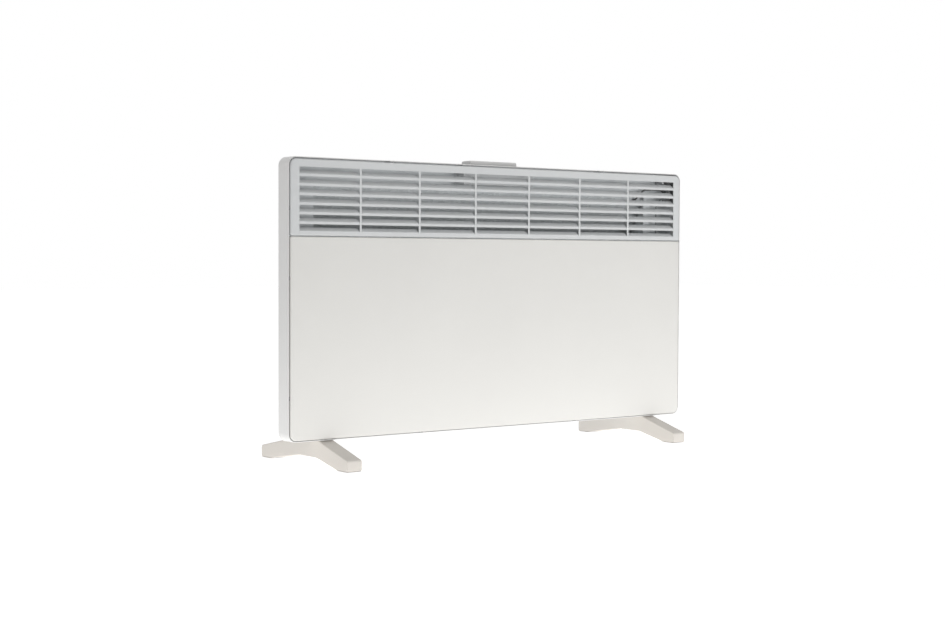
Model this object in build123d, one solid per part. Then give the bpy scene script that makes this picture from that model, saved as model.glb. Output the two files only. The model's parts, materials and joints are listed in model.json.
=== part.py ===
from build123d import *

import os
from math import cos, radians, sin, tan

# A slim convector heater: a steel surround with a louvred plate above a plain one,
# a shallow pan behind it that holds the heating element, and two moulded feet.
#
# Pieces are drawn with the front plates at y = 0, the floor at z = 0 and the heater's
# middle at x = 0: x runs to the viewer's right, y to the back, z up. Each piece is moved
# when it is written, so that the origin is at the middle of the feet on the floor.
# Sizes are in millimetres. DROP is a distance down from the casing's top, and RISE one up
# from its bottom.

# A snug fit, a loose hole, and how far a cut or a joined form runs past a face
SNUG_CLEARANCE = 0.05
HOLE_CLEARANCE = 0.15
PAST = 1.0

# Casing
CASING_WIDTH = 760.0
CASING_HEIGHT = 400.0
CASING_DEPTH = 30.0
CASING_LIFT = 38.4
CASING_STEEL = 1.2
CASING_CORNER = 12.5
CASING_BACK_CORNER = 2.5
RIM_SETBACK = 1.8
RIM_ROUNDING = 0.5
INLET_SIZE = (60.0, 6.0)
INLET_PITCH = 72.0
INLET_MARGIN = 40.0

# Front plates
PLATE_STEEL = 0.7
PLATE_GAP = 1.7
PLATE_TOP_GAP = 1.9
PLATE_BOTTOM_GAP = 0.9
PLATE_RETURN = 7.0
PLATE_ROUNDING = 1.6
PLATE_SEAM_CORNER = 2.4
SEAM_DROP = 111.0
SEAM_GAP = 1.2
LOUVRE_ROWS = 7
LOUVRE_COLUMNS = 7
LOUVRE_TOP_DROP = 14.1
LOUVRE_ROW_PITCH = 13.35
LOUVRE_SLOT_HEIGHT = 9.65
LOUVRE_SIDE_MARGIN = 14.1
LOUVRE_RIB = 3.2
VANE_LENGTH = 7.8
VANE_ANGLE = 40.0
VANE_END_GAP = 0.5
VANE_LIP = 1.0
VANE_LIP_ROUNDING = 0.6
RAIL_HEIGHT = 15.0
RAIL_DEPTH = 12.0
RAIL_STEEL = 1.0

# Spring clips that hold the plates
CLIP_WIDTH = 6.0
CLIP_STEEL = 0.5
CLIP_FRONT = 3.0
CLIP_TAIL = 16.0
CLIP_GRIP = 4.0
GRILLE_CLIP_DROP = 72.0
GRILLE_CLIP_OFFSET = 205.0
PANEL_CLIP_RISE = 62.0
PANEL_CLIP_DROP = 170.0
PANEL_CLIP_OFFSET = 150.0

# Rear pan
PAN_WIDTH = 660.0
PAN_DEPTH = 48.0
PAN_DROP = 30.0
PAN_STEEL = 0.7
PAN_FLANGE = 20.0
PAN_CORNER = 10.0
PAN_BACK_CORNER = 5.0
PAN_TONGUE = 10.0
PAN_TONGUE_LAP = 5.0
PAN_INLET_DEPTHS = (11.0, 31.0)
OPENING_LAP = 8.0
BEAD_MARGIN = 95.0
BEAD_WIDTH = 14.0
BEAD_DEPTH = 2.0
BEAD_DROPS = (145.0, 205.0, 265.0)
VENT_SIZE = (36.0, 4.0)
VENT_PITCH = 50.0
VENT_MARGIN = 50.0
VENT_RISES = (24.0, 38.0)
HOOK_SLOT_SIZE = (24.0, 6.0)
HOOK_SLOT_SPACING = 400.0
HOOK_SLOT_DROP = 52.0
FIXING_HOLE_RADIUS = 2.75
FIXING_HOLE_SPACING = 400.0
FIXING_HOLE_RISE = 13.0

# Screws: shank radius, length, head radius, head height
SHEET_SCREW = (1.9, 8.0, 3.9, 2.2)
FOOT_SCREW = (2.4, 14.0, 4.6, 3.0)
HANDLE_SCREW = (1.9, 14.0, 3.6, 2.4)
SMALL_SCREW = (1.4, 8.0, 2.7, 1.8)
SCREW_HEAD_ROUNDING = 0.4
PAN_SCREW_RISES = (32.0, 128.0)
PAN_SCREW_DROP = 178.0
PAN_SCREW_OFFSET = 115.0
PAN_SCREW_MARGIN = 40.0

# Carry handle and its recess
HANDLE_WIDTH = 90.0
HANDLE_OVERLAP = 7.0
HANDLE_THICKNESS = 22.0
HANDLE_RISE = 7.4
HANDLE_BAR = 12.8
HANDLE_LEG = 7.0
HANDLE_ROUNDING = 2.6
HANDLE_INNER_ROUNDING = 4.0
HANDLE_SCREW_SETBACK = 15.4
RECESS_WIDTH = 135.0
RECESS_FRONT = 10.0
CUP_WALL = 1.8
CUP_REACH = 17.0
CUP_BACK_LIP = 5.0
CUP_RIM = 4.0
CUP_RIM_FRONT = 2.0
CUP_CLEARANCE = 0.2

# Air deflector and heat shield
DEFLECTOR_STEEL = 0.5
DEFLECTOR_LEFT_MARGIN = 10.0
DEFLECTOR_RIGHT_MARGIN = 4.0
DEFLECTOR_CORNER_CUT = (12.0, 27.0)
DEFLECTOR_LOW_DROP = 120.0
DEFLECTOR_FLANGE = 12.0
DEFLECTOR_STANDOFF = 2.0
DEFLECTOR_LIP = 5.0
DEFLECTOR_WIRE_HOLE = 4.5
DEFLECTOR_NOTCH = (12.0, 17.0)
DEFLECTOR_SCREW_MARGIN = 80.0
SHIELD_STEEL = 0.4
SHIELD_STANDOFF = 6.5
SHIELD_MARGIN = 5.0
SHIELD_FLANGE = 12.0
SHIELD_RISE = 22.0
SHIELD_DROP = 140.0
SHIELD_SCREW_INSET = 30.0

# Heating element
ELEMENT_MARGIN = 80.0
ELEMENT_STANDOFF = 18.0
ELEMENT_RISE = 112.0
ELEMENT_ARM = 26.0
ELEMENT_ARM_ANGLE = 40.0
ELEMENT_ARM_THICKNESS = 2.6
ELEMENT_RIB_PLACES = (13.0, 18.0, 23.0)
ELEMENT_RIB = (5.0, 1.2)
ELEMENT_BOSS_WALL = 3.0
SHEATH_RADIUS = 4.0
SHEATH_SPACING = 13.0
SHEATH_OVERHANG = 35.0
SHEATH_CLEARANCE = 0.05
BRACKET_GAP = 18.0
BRACKET_STEEL = 1.2
BRACKET_HEIGHT = 46.0
BRACKET_REACH = 12.0
BRACKET_FOOT = 16.0
BRACKET_SCREW_SPREAD = 26.0
BUSH_WALL = 3.0
BUSH_LIP = 2.0
BUSH_LIP_LENGTH = 2.5
INSULATOR = (3.8, 6.0)
INSULATOR_CHAMFER = 0.6
PIN_RADIUS = 1.3
PIN_EMBED = 4.0
PIN_REACH = 6.0
BLADE = (8.0, 6.3, 0.8)
LINK_STEEL = 0.8

# Thermal cut-out on the heat shield
CUTOUT_MARGIN = 40.0
CUTOUT_RISE = 200.0
CUTOUT_RADIUS = 8.0
CUTOUT_HEIGHT = 8.0
CUTOUT_CLAMP = (34.0, 14.0, 1.2)
CUTOUT_SCREW_SPREAD = 24.0
CUTOUT_BLADE_SPREAD = 8.0

# Control housing on the pan's right side
HOUSING_REACH = 38.0
HOUSING_HEIGHT = 112.0
HOUSING_DROP = 42.0
HOUSING_WALL = 2.0
HOUSING_ROUNDING = 2.5
HOUSING_BOSS_RADIUS = 3.4
HOUSING_BOSS_INSET = 5.6
HOUSING_SKIRT_GAP = 0.2
WINDOW_INSET = 7.0
WINDOW_RISE = 16.0
WINDOW_DROP = 62.0
DIAL_PLATE_MARGIN = 0.5
DIAL_PLATE_HEIGHT = 48.0
DIAL_PLATE_THICKNESS = 0.6
KNOB_DROP = 27.0
KNOB_RADIUS = 15.0
KNOB_HEIGHT = 10.2
KNOB_GAP = 0.6
KNOB_SKIRT = 3.0
KNOB_SKIRT_ROUNDING = 0.8
KNOB_HOLLOW = 1.6
KNOB_GRIP = 9.0
KNOB_GRIP_INSET = 2.5
KNOB_GRIP_ROUNDING = 1.0
POINTER_SIZE = (8.0, 1.6, 0.8)
SPINDLE_RADIUS = 3.0
SPINDLE_FLAT = 2.0
SPINDLE_HOLE_ROOM = 1.0
SPINDLE_EMBED = 12.0
THERMOSTAT_SIZE = (26.0, 30.0, 30.0)
THERMOSTAT_PLATE = 1.5
THERMOSTAT_PLATE_HEIGHT = 18.0
THERMOSTAT_SCREW_SPREAD = 20.0
LENS_DROP = 62.0
LENS_RADIUS = 3.0
LENS_PROUD = 1.8
LENS_FLANGE = 1.0
LENS_FLANGE_WIDTH = 0.8
LENS_EMBED = 2.0
LENS_ROUNDING = 0.7
LAMP_RADIUS = 2.8
LAMP_LENGTH = 12.0
SWITCH_DROP = 88.0
SWITCH_SPREAD = 21.0
SWITCH_BEZEL = (21.0, 15.0, 1.6)
SWITCH_BEZEL_ROUNDING = 0.7
SWITCH_BODY = (19.0, 13.0, 13.0)
SWITCH_SLOT = (17.2, 11.2)
SWITCH_BACK_WALL = 1.5
SWITCH_FIT = 0.1
ROCKER_RADIUS = 8.4
ROCKER_WIDTH = 10.9
ROCKER_PIVOT_DEPTH = 1.0
ROCKER_PIN_RADIUS = 1.0
ROCKER_PIN_REACH = 0.6
ROCKER_CROWN = 3.4
ROCKER_KEEL = 3.0
ROCKER_TILT = 10.0
SWITCH_BLADE = (8.0, 4.8, 0.8)
SWITCH_BLADE_SPREAD = 10.0

# Supply entry and wiring
GLAND_BORE = 4.0
GLAND_RADIUS = 7.8
GLAND_HEX = 11.0
GLAND_FLANGE = 5.0
GLAND_DOME = 12.0
GLAND_DOME_RADII = (6.6, 9.0)
GLAND_NUT = (10.5, 4.0)
GLAND_THREAD = 8.0
GROMMET_HOLE = 7.0
GROMMET_LIP = 2.0
GROMMET_BORE = 5.5
GROMMET_INSET = 11.0
GROMMET_DROP = 118.0
BLOCK_WIDTH = 12.0
BLOCK_DEPTH = 16.0
BLOCK_POLES = 3
BLOCK_PITCH = 12.0
BLOCK_TOP_DROP = 11.4
BLOCK_INSET = 2.4
BLOCK_GROOVE = (1.2, 4.0)
BLOCK_SCREW_RADIUS = 2.2
BLOCK_SCREW_LENGTH = 7.0
BLOCK_SCREW_SINK = 1.5
BLOCK_SCREW_SLOT = (5.0, 0.8, 0.8)
STUD_RADIUS = 2.0
STUD_LENGTH = 15.0
STUD_INSET = 28.0
STUD_DROP = 15.0
STUD_NUT = (3.5, 3.2)
STUD_RING = (4.0, 1.0)
STUD_TAB = (5.0, 6.0)
WIRE_RADIUS = 1.4
WIRE_BEND = 14.0
NEUTRAL_INSET = 24.0
NEUTRAL_HOLE_DROP = 46.0
BULB_RADIUS = 3.0
BULB_LENGTH = 70.0
BULB_RISE = 34.0
BULB_INSET = (7.0, 11.5)
CAPILLARY_RADIUS = 0.8
SENSOR_BAND = (0.8, 8.0)
SENSOR_FOOT = (1.2, 14.0)
SENSOR_WEB = 2.0

# Feet
FOOT_INSET = 3.0
FOOT_THICKNESS = 25.0
FOOT_LENGTH = 233.0
FOOT_REACH = 67.0
FOOT_FRONT_HEIGHT = 16.2
FOOT_BACK_HEIGHT = 17.8
FOOT_SHOULDER_FRONT = 9.0
FOOT_SHOULDER_INSET = 12.0
FOOT_ARCH_HEIGHT = 13.0
FOOT_ARCH_FRONT = 14.0
FOOT_ARCH_BACK = 62.0
FOOT_FRONT_PAD = 25.0
FOOT_BACK_PAD = 23.0
FOOT_BEND = 40.0
FOOT_END_ROUNDING = 3.5
FOOT_EDGE_ROUNDING = 1.6
FOOT_SCREW_OFFSETS = (-6.0, 23.0)
FOOT_SCREW_WEB = 6.0
FOOT_PAD_INSET = 3.0
FOOT_WELL_ROOM = 0.4
FOOT_WELL_SKIN = 1.0
NUT_PLATE = (22.0, 3.0)
NUT_PLATE_EDGE = 4.8
NUT_PLATE_ENDS = (1.0, 8.0)

# Places that follow from the sizes above
HALF_WIDTH = CASING_WIDTH / 2
BOTTOM = CASING_LIFT
TOP = BOTTOM + CASING_HEIGHT
INNER_SIDE = HALF_WIDTH - CASING_STEEL
INNER_TOP = TOP - CASING_STEEL
FLANGE_FACE = CASING_DEPTH - CASING_STEEL
PAN_BACK = CASING_DEPTH + PAN_DEPTH
PLATE_HALF = INNER_SIDE - PLATE_GAP
PLATE_TOP = INNER_TOP - PLATE_TOP_GAP
PLATE_BOTTOM = BOTTOM + CASING_STEEL + PLATE_BOTTOM_GAP
SEAM = TOP - SEAM_DROP
PAN_HALF = PAN_WIDTH / 2
PAN_TOP = TOP - PAN_DROP
PAN_BOTTOM = BOTTOM + CASING_STEEL
PAN_WALL = PAN_HALF - PAN_STEEL
PAN_FLOOR = PAN_BOTTOM + PAN_STEEL
PAN_CEILING = PAN_TOP - PAN_STEEL
BACK_WALL = PAN_BACK - PAN_STEEL
FLANGE_BACK = CASING_DEPTH + PAN_STEEL
OPENING_HALF = PAN_HALF - OPENING_LAP
SHIELD_FACE = BACK_WALL - SHIELD_STANDOFF
ELEMENT_LENGTH = PAN_WIDTH - 2 * ELEMENT_MARGIN
ELEMENT_DEPTH = CASING_DEPTH + ELEMENT_STANDOFF
ELEMENT_HEIGHT = BOTTOM + ELEMENT_RISE
SHIELD_HALF_WIDTH = ELEMENT_LENGTH / 2 - SHIELD_MARGIN
SHIELD_LOW = BOTTOM + SHIELD_RISE
SHIELD_HIGH = TOP - SHIELD_DROP
CUTOUT_OFFSET = SHIELD_HALF_WIDTH - CUTOUT_MARGIN
HANDLE_FRONT = CASING_DEPTH - HANDLE_OVERLAP
BRACKET_X = ELEMENT_LENGTH / 2 + BRACKET_GAP
SHEATH_END = ELEMENT_LENGTH / 2 + SHEATH_OVERHANG
HOUSING_FACE = PAN_HALF + HOUSING_REACH
HOUSING_INNER = HOUSING_FACE - HOUSING_WALL
HOUSING_TOP = TOP - HOUSING_DROP
HOUSING_BOTTOM = HOUSING_TOP - HOUSING_HEIGHT
HOUSING_MIDDLE = (FLANGE_BACK + PAN_BACK) / 2
KNOB_CENTRE = (HOUSING_MIDDLE, HOUSING_TOP - KNOB_DROP)
DIAL_PLATE_WIDTH = PAN_BACK - FLANGE_BACK - 2 * (HOUSING_ROUNDING + DIAL_PLATE_MARGIN)
PLATE_OUTER = HOUSING_FACE + DIAL_PLATE_THICKNESS
LENS_CENTRE = (HOUSING_MIDDLE, HOUSING_TOP - LENS_DROP)
SWITCH_HEIGHT = HOUSING_TOP - SWITCH_DROP
ROCKER_PIVOT = HOUSING_FACE + SWITCH_BEZEL[2] - ROCKER_PIVOT_DEPTH
GROMMET_CENTRE = (PAN_HALF + GROMMET_INSET, TOP - GROMMET_DROP)
BLOCK_HIGH = TOP - BLOCK_TOP_DROP
BLOCK_LOW = BLOCK_HIGH - BLOCK_POLES * BLOCK_PITCH
BLOCK_RIGHT = INNER_SIDE - BLOCK_INSET
BLOCK_LEFT = BLOCK_RIGHT - BLOCK_WIDTH
BLOCK_FACE = FLANGE_FACE - BLOCK_DEPTH
STUD_CENTRE = (HALF_WIDTH - STUD_INSET, TOP - STUD_DROP)
NEUTRAL_X = PAN_WALL - NEUTRAL_INSET
FOOT_SHOULDER_BACK = PAN_BACK - FOOT_SHOULDER_INSET
ORIGIN_SHIFT = FOOT_REACH - FOOT_LENGTH / 2


def block(x, y, z):
    """Box that spans a (low, high) pair along each axis."""
    size = (x[1] - x[0], y[1] - y[0], z[1] - z[0])
    middle = ((x[0] + x[1]) / 2, (y[0] + y[1]) / 2, (z[0] + z[1]) / 2)
    return Pos(*middle) * Box(*size)


def rod(radius, start, end):
    """Round bar between two points."""
    axis = Vector(*end) - Vector(*start)
    base = (Align.CENTER, Align.CENTER, Align.MIN)
    return Plane(origin=start, z_dir=axis) * Cylinder(radius, axis.length, align=base)


def prism(points, x_low, x_high):
    """Bar along x with a (y, z) outline."""
    outline = make_face(Polyline(*points, close=True))
    return extrude(Plane.YZ.offset(x_low) * outline, x_high - x_low, dir=(1, 0, 0))


def flat_slot(centre, length, width, y):
    """Slot with round ends, long along x, cut through a wall that faces y."""
    outline = SlotOverall(length, width)
    placed = Plane.XZ.offset(-y[1]) * (Pos(centre[0], centre[1]) * outline)
    return extrude(placed, y[1] - y[0], dir=(0, -1, 0))


def floor_slot(centre, length, width, z):
    """Slot with round ends, long along x, cut through a wall that faces z."""
    outline = Plane.XY.offset(z[0]) * (Pos(centre[0], centre[1]) * SlotOverall(length, width))
    return extrude(outline, z[1] - z[0], dir=(0, 0, 1))


def edges_along(shape, axis, test):
    """Edges parallel to an axis whose middle passes the test."""
    return [edge for edge in shape.edges().filter_by(axis) if test(edge.center())]


def screw(size, seat, direction):
    """Cross-head screw whose head rests at the seat and whose shank points along direction."""
    shank_radius, length, head_radius, head_height = size
    base = (Align.CENTER, Align.CENTER, Align.MIN)
    head = Pos(0, 0, -head_height) * Cylinder(head_radius, head_height, align=base)
    head = fillet(head.edges().sort_by(Axis.Z)[0], head_height * SCREW_HEAD_ROUNDING)
    recess = Box(head_radius, head_radius / 4, head_height)
    for turn in (0, 90):
        head -= Pos(0, 0, -head_height) * Rot(0, 0, turn) * recess
    body = head + Cylinder(shank_radius, length, align=base)
    return Plane(origin=seat, z_dir=direction) * body


def shank_hole(size, seat, direction, clearance=HOLE_CLEARANCE):
    """Hole that a screw's shank passes through, with room at both ends."""
    start = Vector(*seat) - Vector(*direction)
    end = Vector(*seat) + Vector(*direction) * (size[1] + PAST)
    return rod(size[0] + clearance, tuple(start), tuple(end))


def blade(tip, root, width_axis):
    """Flat terminal blade along one axis between two points."""
    _, width, thickness = BLADE
    low = [min(tip[i], root[i]) for i in range(3)]
    high = [max(tip[i], root[i]) for i in range(3)]
    for i in range(3):
        if low[i] == high[i]:
            half = (width if i == width_axis else thickness) / 2
            low[i] -= half
            high[i] += half
    return block(*zip(low, high))


def wire(points, radius=WIRE_RADIUS, bend=WIRE_BEND):
    """Round wire along straight runs joined by arcs, as large as the runs leave room for."""
    points = [Vector(*point) for point in points]
    radii = []
    for before, corner, after in zip(points, points[1:], points[2:]):
        arriving = corner - before
        leaving = after - corner
        turn = arriving.get_angle(leaving)
        room = 0.45 * min(arriving.length, leaving.length)
        radii.append(min(bend, room / tan(radians(turn / 2))))
    path = FilletPolyline(*points, radius=radii)
    section = Plane(origin=path @ 0, z_dir=path % 0) * Circle(radius)
    return sweep(section, path=path)


# Casing and plates


def casing_shell():
    """Hollow surround: four walls and a back wall, open at the front."""
    shell = block((-HALF_WIDTH, HALF_WIDTH), (RIM_SETBACK, CASING_DEPTH), (BOTTOM, TOP))
    shell = fillet(shell.edges().filter_by(Axis.Y), CASING_CORNER)
    shell = fillet(shell.faces().sort_by(Axis.Y)[-1].edges(), CASING_BACK_CORNER)
    shell = fillet(shell.faces().sort_by(Axis.Y)[0].edges(), RIM_ROUNDING)
    hollow = block(
        (-INNER_SIDE, INNER_SIDE),
        (RIM_SETBACK - PAST, FLANGE_FACE),
        (BOTTOM + CASING_STEEL, INNER_TOP),
    )
    hollow = fillet(hollow.edges().filter_by(Axis.Y), CASING_CORNER - CASING_STEEL)
    inner_corner = CASING_BACK_CORNER - CASING_STEEL
    hollow = fillet(hollow.faces().sort_by(Axis.Y)[-1].edges(), inner_corner)
    return shell - hollow


def pan_screw_seats():
    """Screws that hold the pan's flange to the casing's back, driven from behind."""
    side = PAN_HALF + PAN_FLANGE / 2
    heights = [BOTTOM + rise for rise in PAN_SCREW_RISES]
    heights.append(TOP - PAN_SCREW_DROP)
    seats = [(x, FLANGE_BACK, z) for x in (-side, side) for z in heights]
    top = PAN_TOP + PAN_FLANGE / 2
    for offset in (PAN_SCREW_OFFSET, PAN_HALF - PAN_SCREW_MARGIN):
        seats += [(-offset, FLANGE_BACK, top), (offset, FLANGE_BACK, top)]
    return seats


def foot_middles():
    """Middle of each foot across the heater, left then right."""
    middle = PAN_HALF - FOOT_INSET - FOOT_THICKNESS / 2
    return (-middle, middle)


def foot_screw_seats(x):
    """Where each screw's head rests in a foot."""
    seat = BOTTOM - FOOT_SCREW_WEB
    return [(x, CASING_DEPTH + offset, seat) for offset in FOOT_SCREW_OFFSETS]


def foot_screw_holes():
    """Holes for the foot screws, above the feet."""
    holes = []
    for x in foot_middles():
        for seat in foot_screw_seats(x):
            holes.append(shank_hole(FOOT_SCREW, seat, (0, 0, 1)))
    return holes


def recess_cut(clearance=0.0):
    """Space of the handle's recess in the casing's top and in the pan's flange."""
    half = RECESS_WIDTH / 2 + clearance
    return block((-half, half), (RECESS_FRONT, FLANGE_BACK + PAST), (PAN_TOP, TOP + PAST))


def grommet_hole():
    """Round hole for the wires, through the casing, the pan's flange and the housing."""
    x, z = GROMMET_CENTRE
    return rod(GROMMET_HOLE, (x, FLANGE_FACE - PAST, z), (x, FLANGE_BACK + HOUSING_WALL + PAST, z))


def spread(length, pitch, margin):
    """Places of a row of holes about the middle, as many as a pitch and margin allow."""
    count = int((length - 2 * margin) // pitch)
    return [(i - (count - 1) / 2) * pitch for i in range(count)]


def casing():
    shell = casing_shell()
    shell -= block(
        (-OPENING_HALF, OPENING_HALF),
        (FLANGE_FACE - CASING_BACK_CORNER, CASING_DEPTH + PAST),
        (BOTTOM + CASING_STEEL, PAN_TOP - OPENING_LAP),
    )
    shell -= recess_cut()
    middle = (PLATE_RETURN + CASING_DEPTH - PAN_TONGUE) / 2
    for x in spread(PAN_WIDTH, INLET_PITCH, INLET_MARGIN):
        shell -= floor_slot((x, middle), *INLET_SIZE, (BOTTOM - PAST, BOTTOM + CASING_STEEL + PAST))
    for seat in pan_screw_seats():
        shell -= shank_hole(SHEET_SCREW, seat, (0, -1, 0))
    shell -= foot_screw_holes()
    return shell - grommet_hole()


def pressed_plate(z_low, z_high, low_corner, high_corner):
    """Sheet plate with rounded front edges and a return all round."""
    solids = []
    for inset in (0.0, PLATE_STEEL):
        half = PLATE_HALF - inset
        back = PLATE_RETURN + inset
        form = block((-half, half), (inset, back), (z_low + inset, z_high - inset))
        middle = (z_low + z_high) / 2
        low = edges_along(form, Axis.Y, lambda point: point.Z < middle)
        form = fillet(low, low_corner - inset)
        high = edges_along(form, Axis.Y, lambda point: point.Z > middle)
        form = fillet(high, high_corner - inset)
        form = fillet(form.faces().sort_by(Axis.Y)[0].edges(), PLATE_ROUNDING - inset)
        solids.append(form)
    return solids[0] - solids[1]


def plate_corner():
    """Corner radius of a plate that keeps an even groove inside the casing."""
    return CASING_CORNER - CASING_STEEL - PLATE_GAP


def louvre_slots():
    """Each slot's (x low, x high) and (z low, z high)."""
    columns = LOUVRE_COLUMNS
    ribs = (columns - 1) * LOUVRE_RIB
    width = (2 * (PLATE_HALF - LOUVRE_SIDE_MARGIN) - ribs) / columns
    slots = []
    for row in range(LOUVRE_ROWS):
        high = TOP - LOUVRE_TOP_DROP - row * LOUVRE_ROW_PITCH
        for column in range(columns):
            left = -PLATE_HALF + LOUVRE_SIDE_MARGIN + column * (width + LOUVRE_RIB)
            slots.append(((left, left + width), (high - LOUVRE_SLOT_HEIGHT, high)))
    return slots


def vane(x, z_low):
    """Tab lanced out of a slot and bent inwards over a rounded lip at its lower edge."""
    along = (cos(radians(VANE_ANGLE)), sin(radians(VANE_ANGLE)))
    tip = (VANE_LENGTH * along[0], z_low + VANE_LENGTH * along[1])
    under = (tip[0] + PLATE_STEEL * along[1], tip[1] - PLATE_STEEL * along[0])
    run = (under[0] - PLATE_STEEL) / along[0]
    heel = (PLATE_STEEL, under[1] - run * along[1])
    root = z_low - VANE_LIP - PLATE_STEEL
    outline = [(0, z_low), tip, under, heel, (PLATE_STEEL, root), (0, root)]
    tab = prism(outline, x[0] + VANE_END_GAP, x[1] - VANE_END_GAP)
    lip = edges_along(tab, Axis.X, lambda point: point.Y < 0.1 and point.Z > root + 0.1)
    return fillet(lip, VANE_LIP_ROUNDING)


def grille_panel():
    plate = pressed_plate(SEAM + SEAM_GAP / 2, PLATE_TOP, PLATE_SEAM_CORNER, plate_corner())
    cuts = []
    vanes = []
    for x, z in louvre_slots():
        cuts.append(block(x, (-PAST, PLATE_STEEL + PAST), (z[0] - VANE_LIP, z[1])))
        vanes.append(vane(x, z[0]))
    return (plate - cuts) + vanes


def front_panel():
    return pressed_plate(PLATE_BOTTOM, SEAM - SEAM_GAP / 2, plate_corner(), PLATE_SEAM_CORNER)


def cross_rail():
    """Channel behind the seam that both plates bear on."""
    back = PLATE_RETURN + RAIL_DEPTH
    low = SEAM - RAIL_HEIGHT / 2
    high = SEAM + RAIL_HEIGHT / 2
    channel = block((-INNER_SIDE, INNER_SIDE), (PLATE_RETURN, back), (low, high))
    return channel - block(
        (-HALF_WIDTH, HALF_WIDTH),
        (PLATE_RETURN + RAIL_STEEL, back + PAST),
        (low + RAIL_STEEL, high - RAIL_STEEL),
    )


def spring_clip(gap):
    """Strip clip seen from its end: it lies on a wall at x = 0 and grips a return.

    The return's outer face is at x = gap and its rear edge at y = PLATE_RETURN.
    """
    half = CLIP_WIDTH / 2
    z = (-half, half)
    grip = gap + PLATE_STEEL
    heel = PLATE_RETURN + CLIP_STEEL
    clip = block((0, CLIP_STEEL), (CLIP_FRONT, CLIP_FRONT + CLIP_TAIL), z)
    clip += block((0, gap), (CLIP_FRONT, CLIP_FRONT + CLIP_STEEL), z)
    clip += block((gap - CLIP_STEEL, gap), (CLIP_FRONT, heel), z)
    clip += block((gap - CLIP_STEEL, grip + CLIP_STEEL), (PLATE_RETURN, heel), z)
    clip += block((grip, grip + CLIP_STEEL), (heel - CLIP_GRIP, heel), z)
    return clip


def side_clips(height):
    """A clip on each side wall at a height."""
    clip = spring_clip(PLATE_GAP)
    left = Pos(-INNER_SIDE, 0, height) * clip
    return [left, mirror(left, about=Plane.YZ)]


def grille_clips():
    clips = side_clips(TOP - GRILLE_CLIP_DROP)
    for x in (-GRILLE_CLIP_OFFSET, GRILLE_CLIP_OFFSET):
        clips.append(Pos(x, 0, INNER_TOP) * Rot(0, 90, 0) * spring_clip(PLATE_TOP_GAP))
    return clips


def panel_clips():
    clips = []
    for height in (BOTTOM + PANEL_CLIP_RISE, TOP - PANEL_CLIP_DROP):
        clips += side_clips(height)
    for x in (-PANEL_CLIP_OFFSET, PANEL_CLIP_OFFSET):
        clip = spring_clip(PLATE_BOTTOM_GAP)
        clips.append(Pos(x, 0, BOTTOM + CASING_STEEL) * Rot(0, -90, 0) * clip)
    return clips


# Rear pan


def back_wall_seats():
    """Screws through the pan's back wall: shield, element brackets and deflector."""
    seats = []
    shield_x = SHIELD_HALF_WIDTH + SHIELD_FLANGE / 2
    bracket_x = BRACKET_X + BRACKET_FOOT / 2
    shield_z = (SHIELD_LOW + SHIELD_SCREW_INSET, SHIELD_HIGH - SHIELD_SCREW_INSET)
    for side in (-1, 1):
        for z in shield_z:
            seats.append((side * shield_x, PAN_BACK, z))
        for spread in (-BRACKET_SCREW_SPREAD / 2, BRACKET_SCREW_SPREAD / 2):
            seats.append((side * bracket_x, PAN_BACK, ELEMENT_HEIGHT + spread))
    height = TOP - DEFLECTOR_LOW_DROP - DEFLECTOR_FLANGE / 2
    offset = PAN_HALF - DEFLECTOR_SCREW_MARGIN
    for x in (-offset, 0, offset):
        seats.append((x, PAN_BACK, height))
    return seats


def handle_screw_seats():
    """Screws up through the pan's top and the cup's floor into the handle's legs."""
    x = (HANDLE_WIDTH - HANDLE_LEG) / 2
    y = HANDLE_FRONT + HANDLE_SCREW_SETBACK
    return [(-x, y, PAN_CEILING), (x, y, PAN_CEILING)]


def housing_boss_centres():
    """(y, z) of the four bosses in the control housing."""
    inset = HOUSING_BOSS_INSET
    y = (FLANGE_BACK + inset, PAN_BACK - PAN_BACK_CORNER - SMALL_SCREW[2] - HOLE_CLEARANCE)
    z = (HOUSING_BOTTOM + inset, HOUSING_TOP - inset)
    return [(a, b) for a in y for b in z]


def pan_box():
    """Deep-drawn box of the pan with its flange and its tongue over the casing's bottom."""
    outer = block((-PAN_HALF, PAN_HALF), (CASING_DEPTH, PAN_BACK), (PAN_BOTTOM, PAN_TOP))
    outer = fillet(outer.edges().filter_by(Axis.Y), PAN_CORNER)
    outer = fillet(outer.faces().sort_by(Axis.Y)[-1].edges(), PAN_BACK_CORNER)
    inner = block((-PAN_WALL, PAN_WALL), (CASING_DEPTH - PAST, BACK_WALL), (PAN_FLOOR, PAN_CEILING))
    inner = fillet(inner.edges().filter_by(Axis.Y), PAN_CORNER - PAN_STEEL)
    inner_corner = PAN_BACK_CORNER - PAN_STEEL
    inner = fillet(inner.faces().sort_by(Axis.Y)[-1].edges(), inner_corner)
    flange_half = PAN_HALF + PAN_FLANGE
    flange = block(
        (-flange_half, flange_half),
        (CASING_DEPTH, FLANGE_BACK),
        (PAN_BOTTOM, PAN_TOP + PAN_FLANGE),
    )
    top = edges_along(flange, Axis.Y, lambda point: point.Z > PAN_TOP)
    flange = fillet(top, PAN_CORNER)
    tongue_half = OPENING_HALF - HOLE_CLEARANCE
    tongue = block(
        (-tongue_half, tongue_half),
        (CASING_DEPTH - PAN_TONGUE, CASING_DEPTH + PAN_TONGUE_LAP),
        (PAN_BOTTOM, PAN_FLOOR),
    )
    return (outer + flange - inner) + tongue


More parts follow.
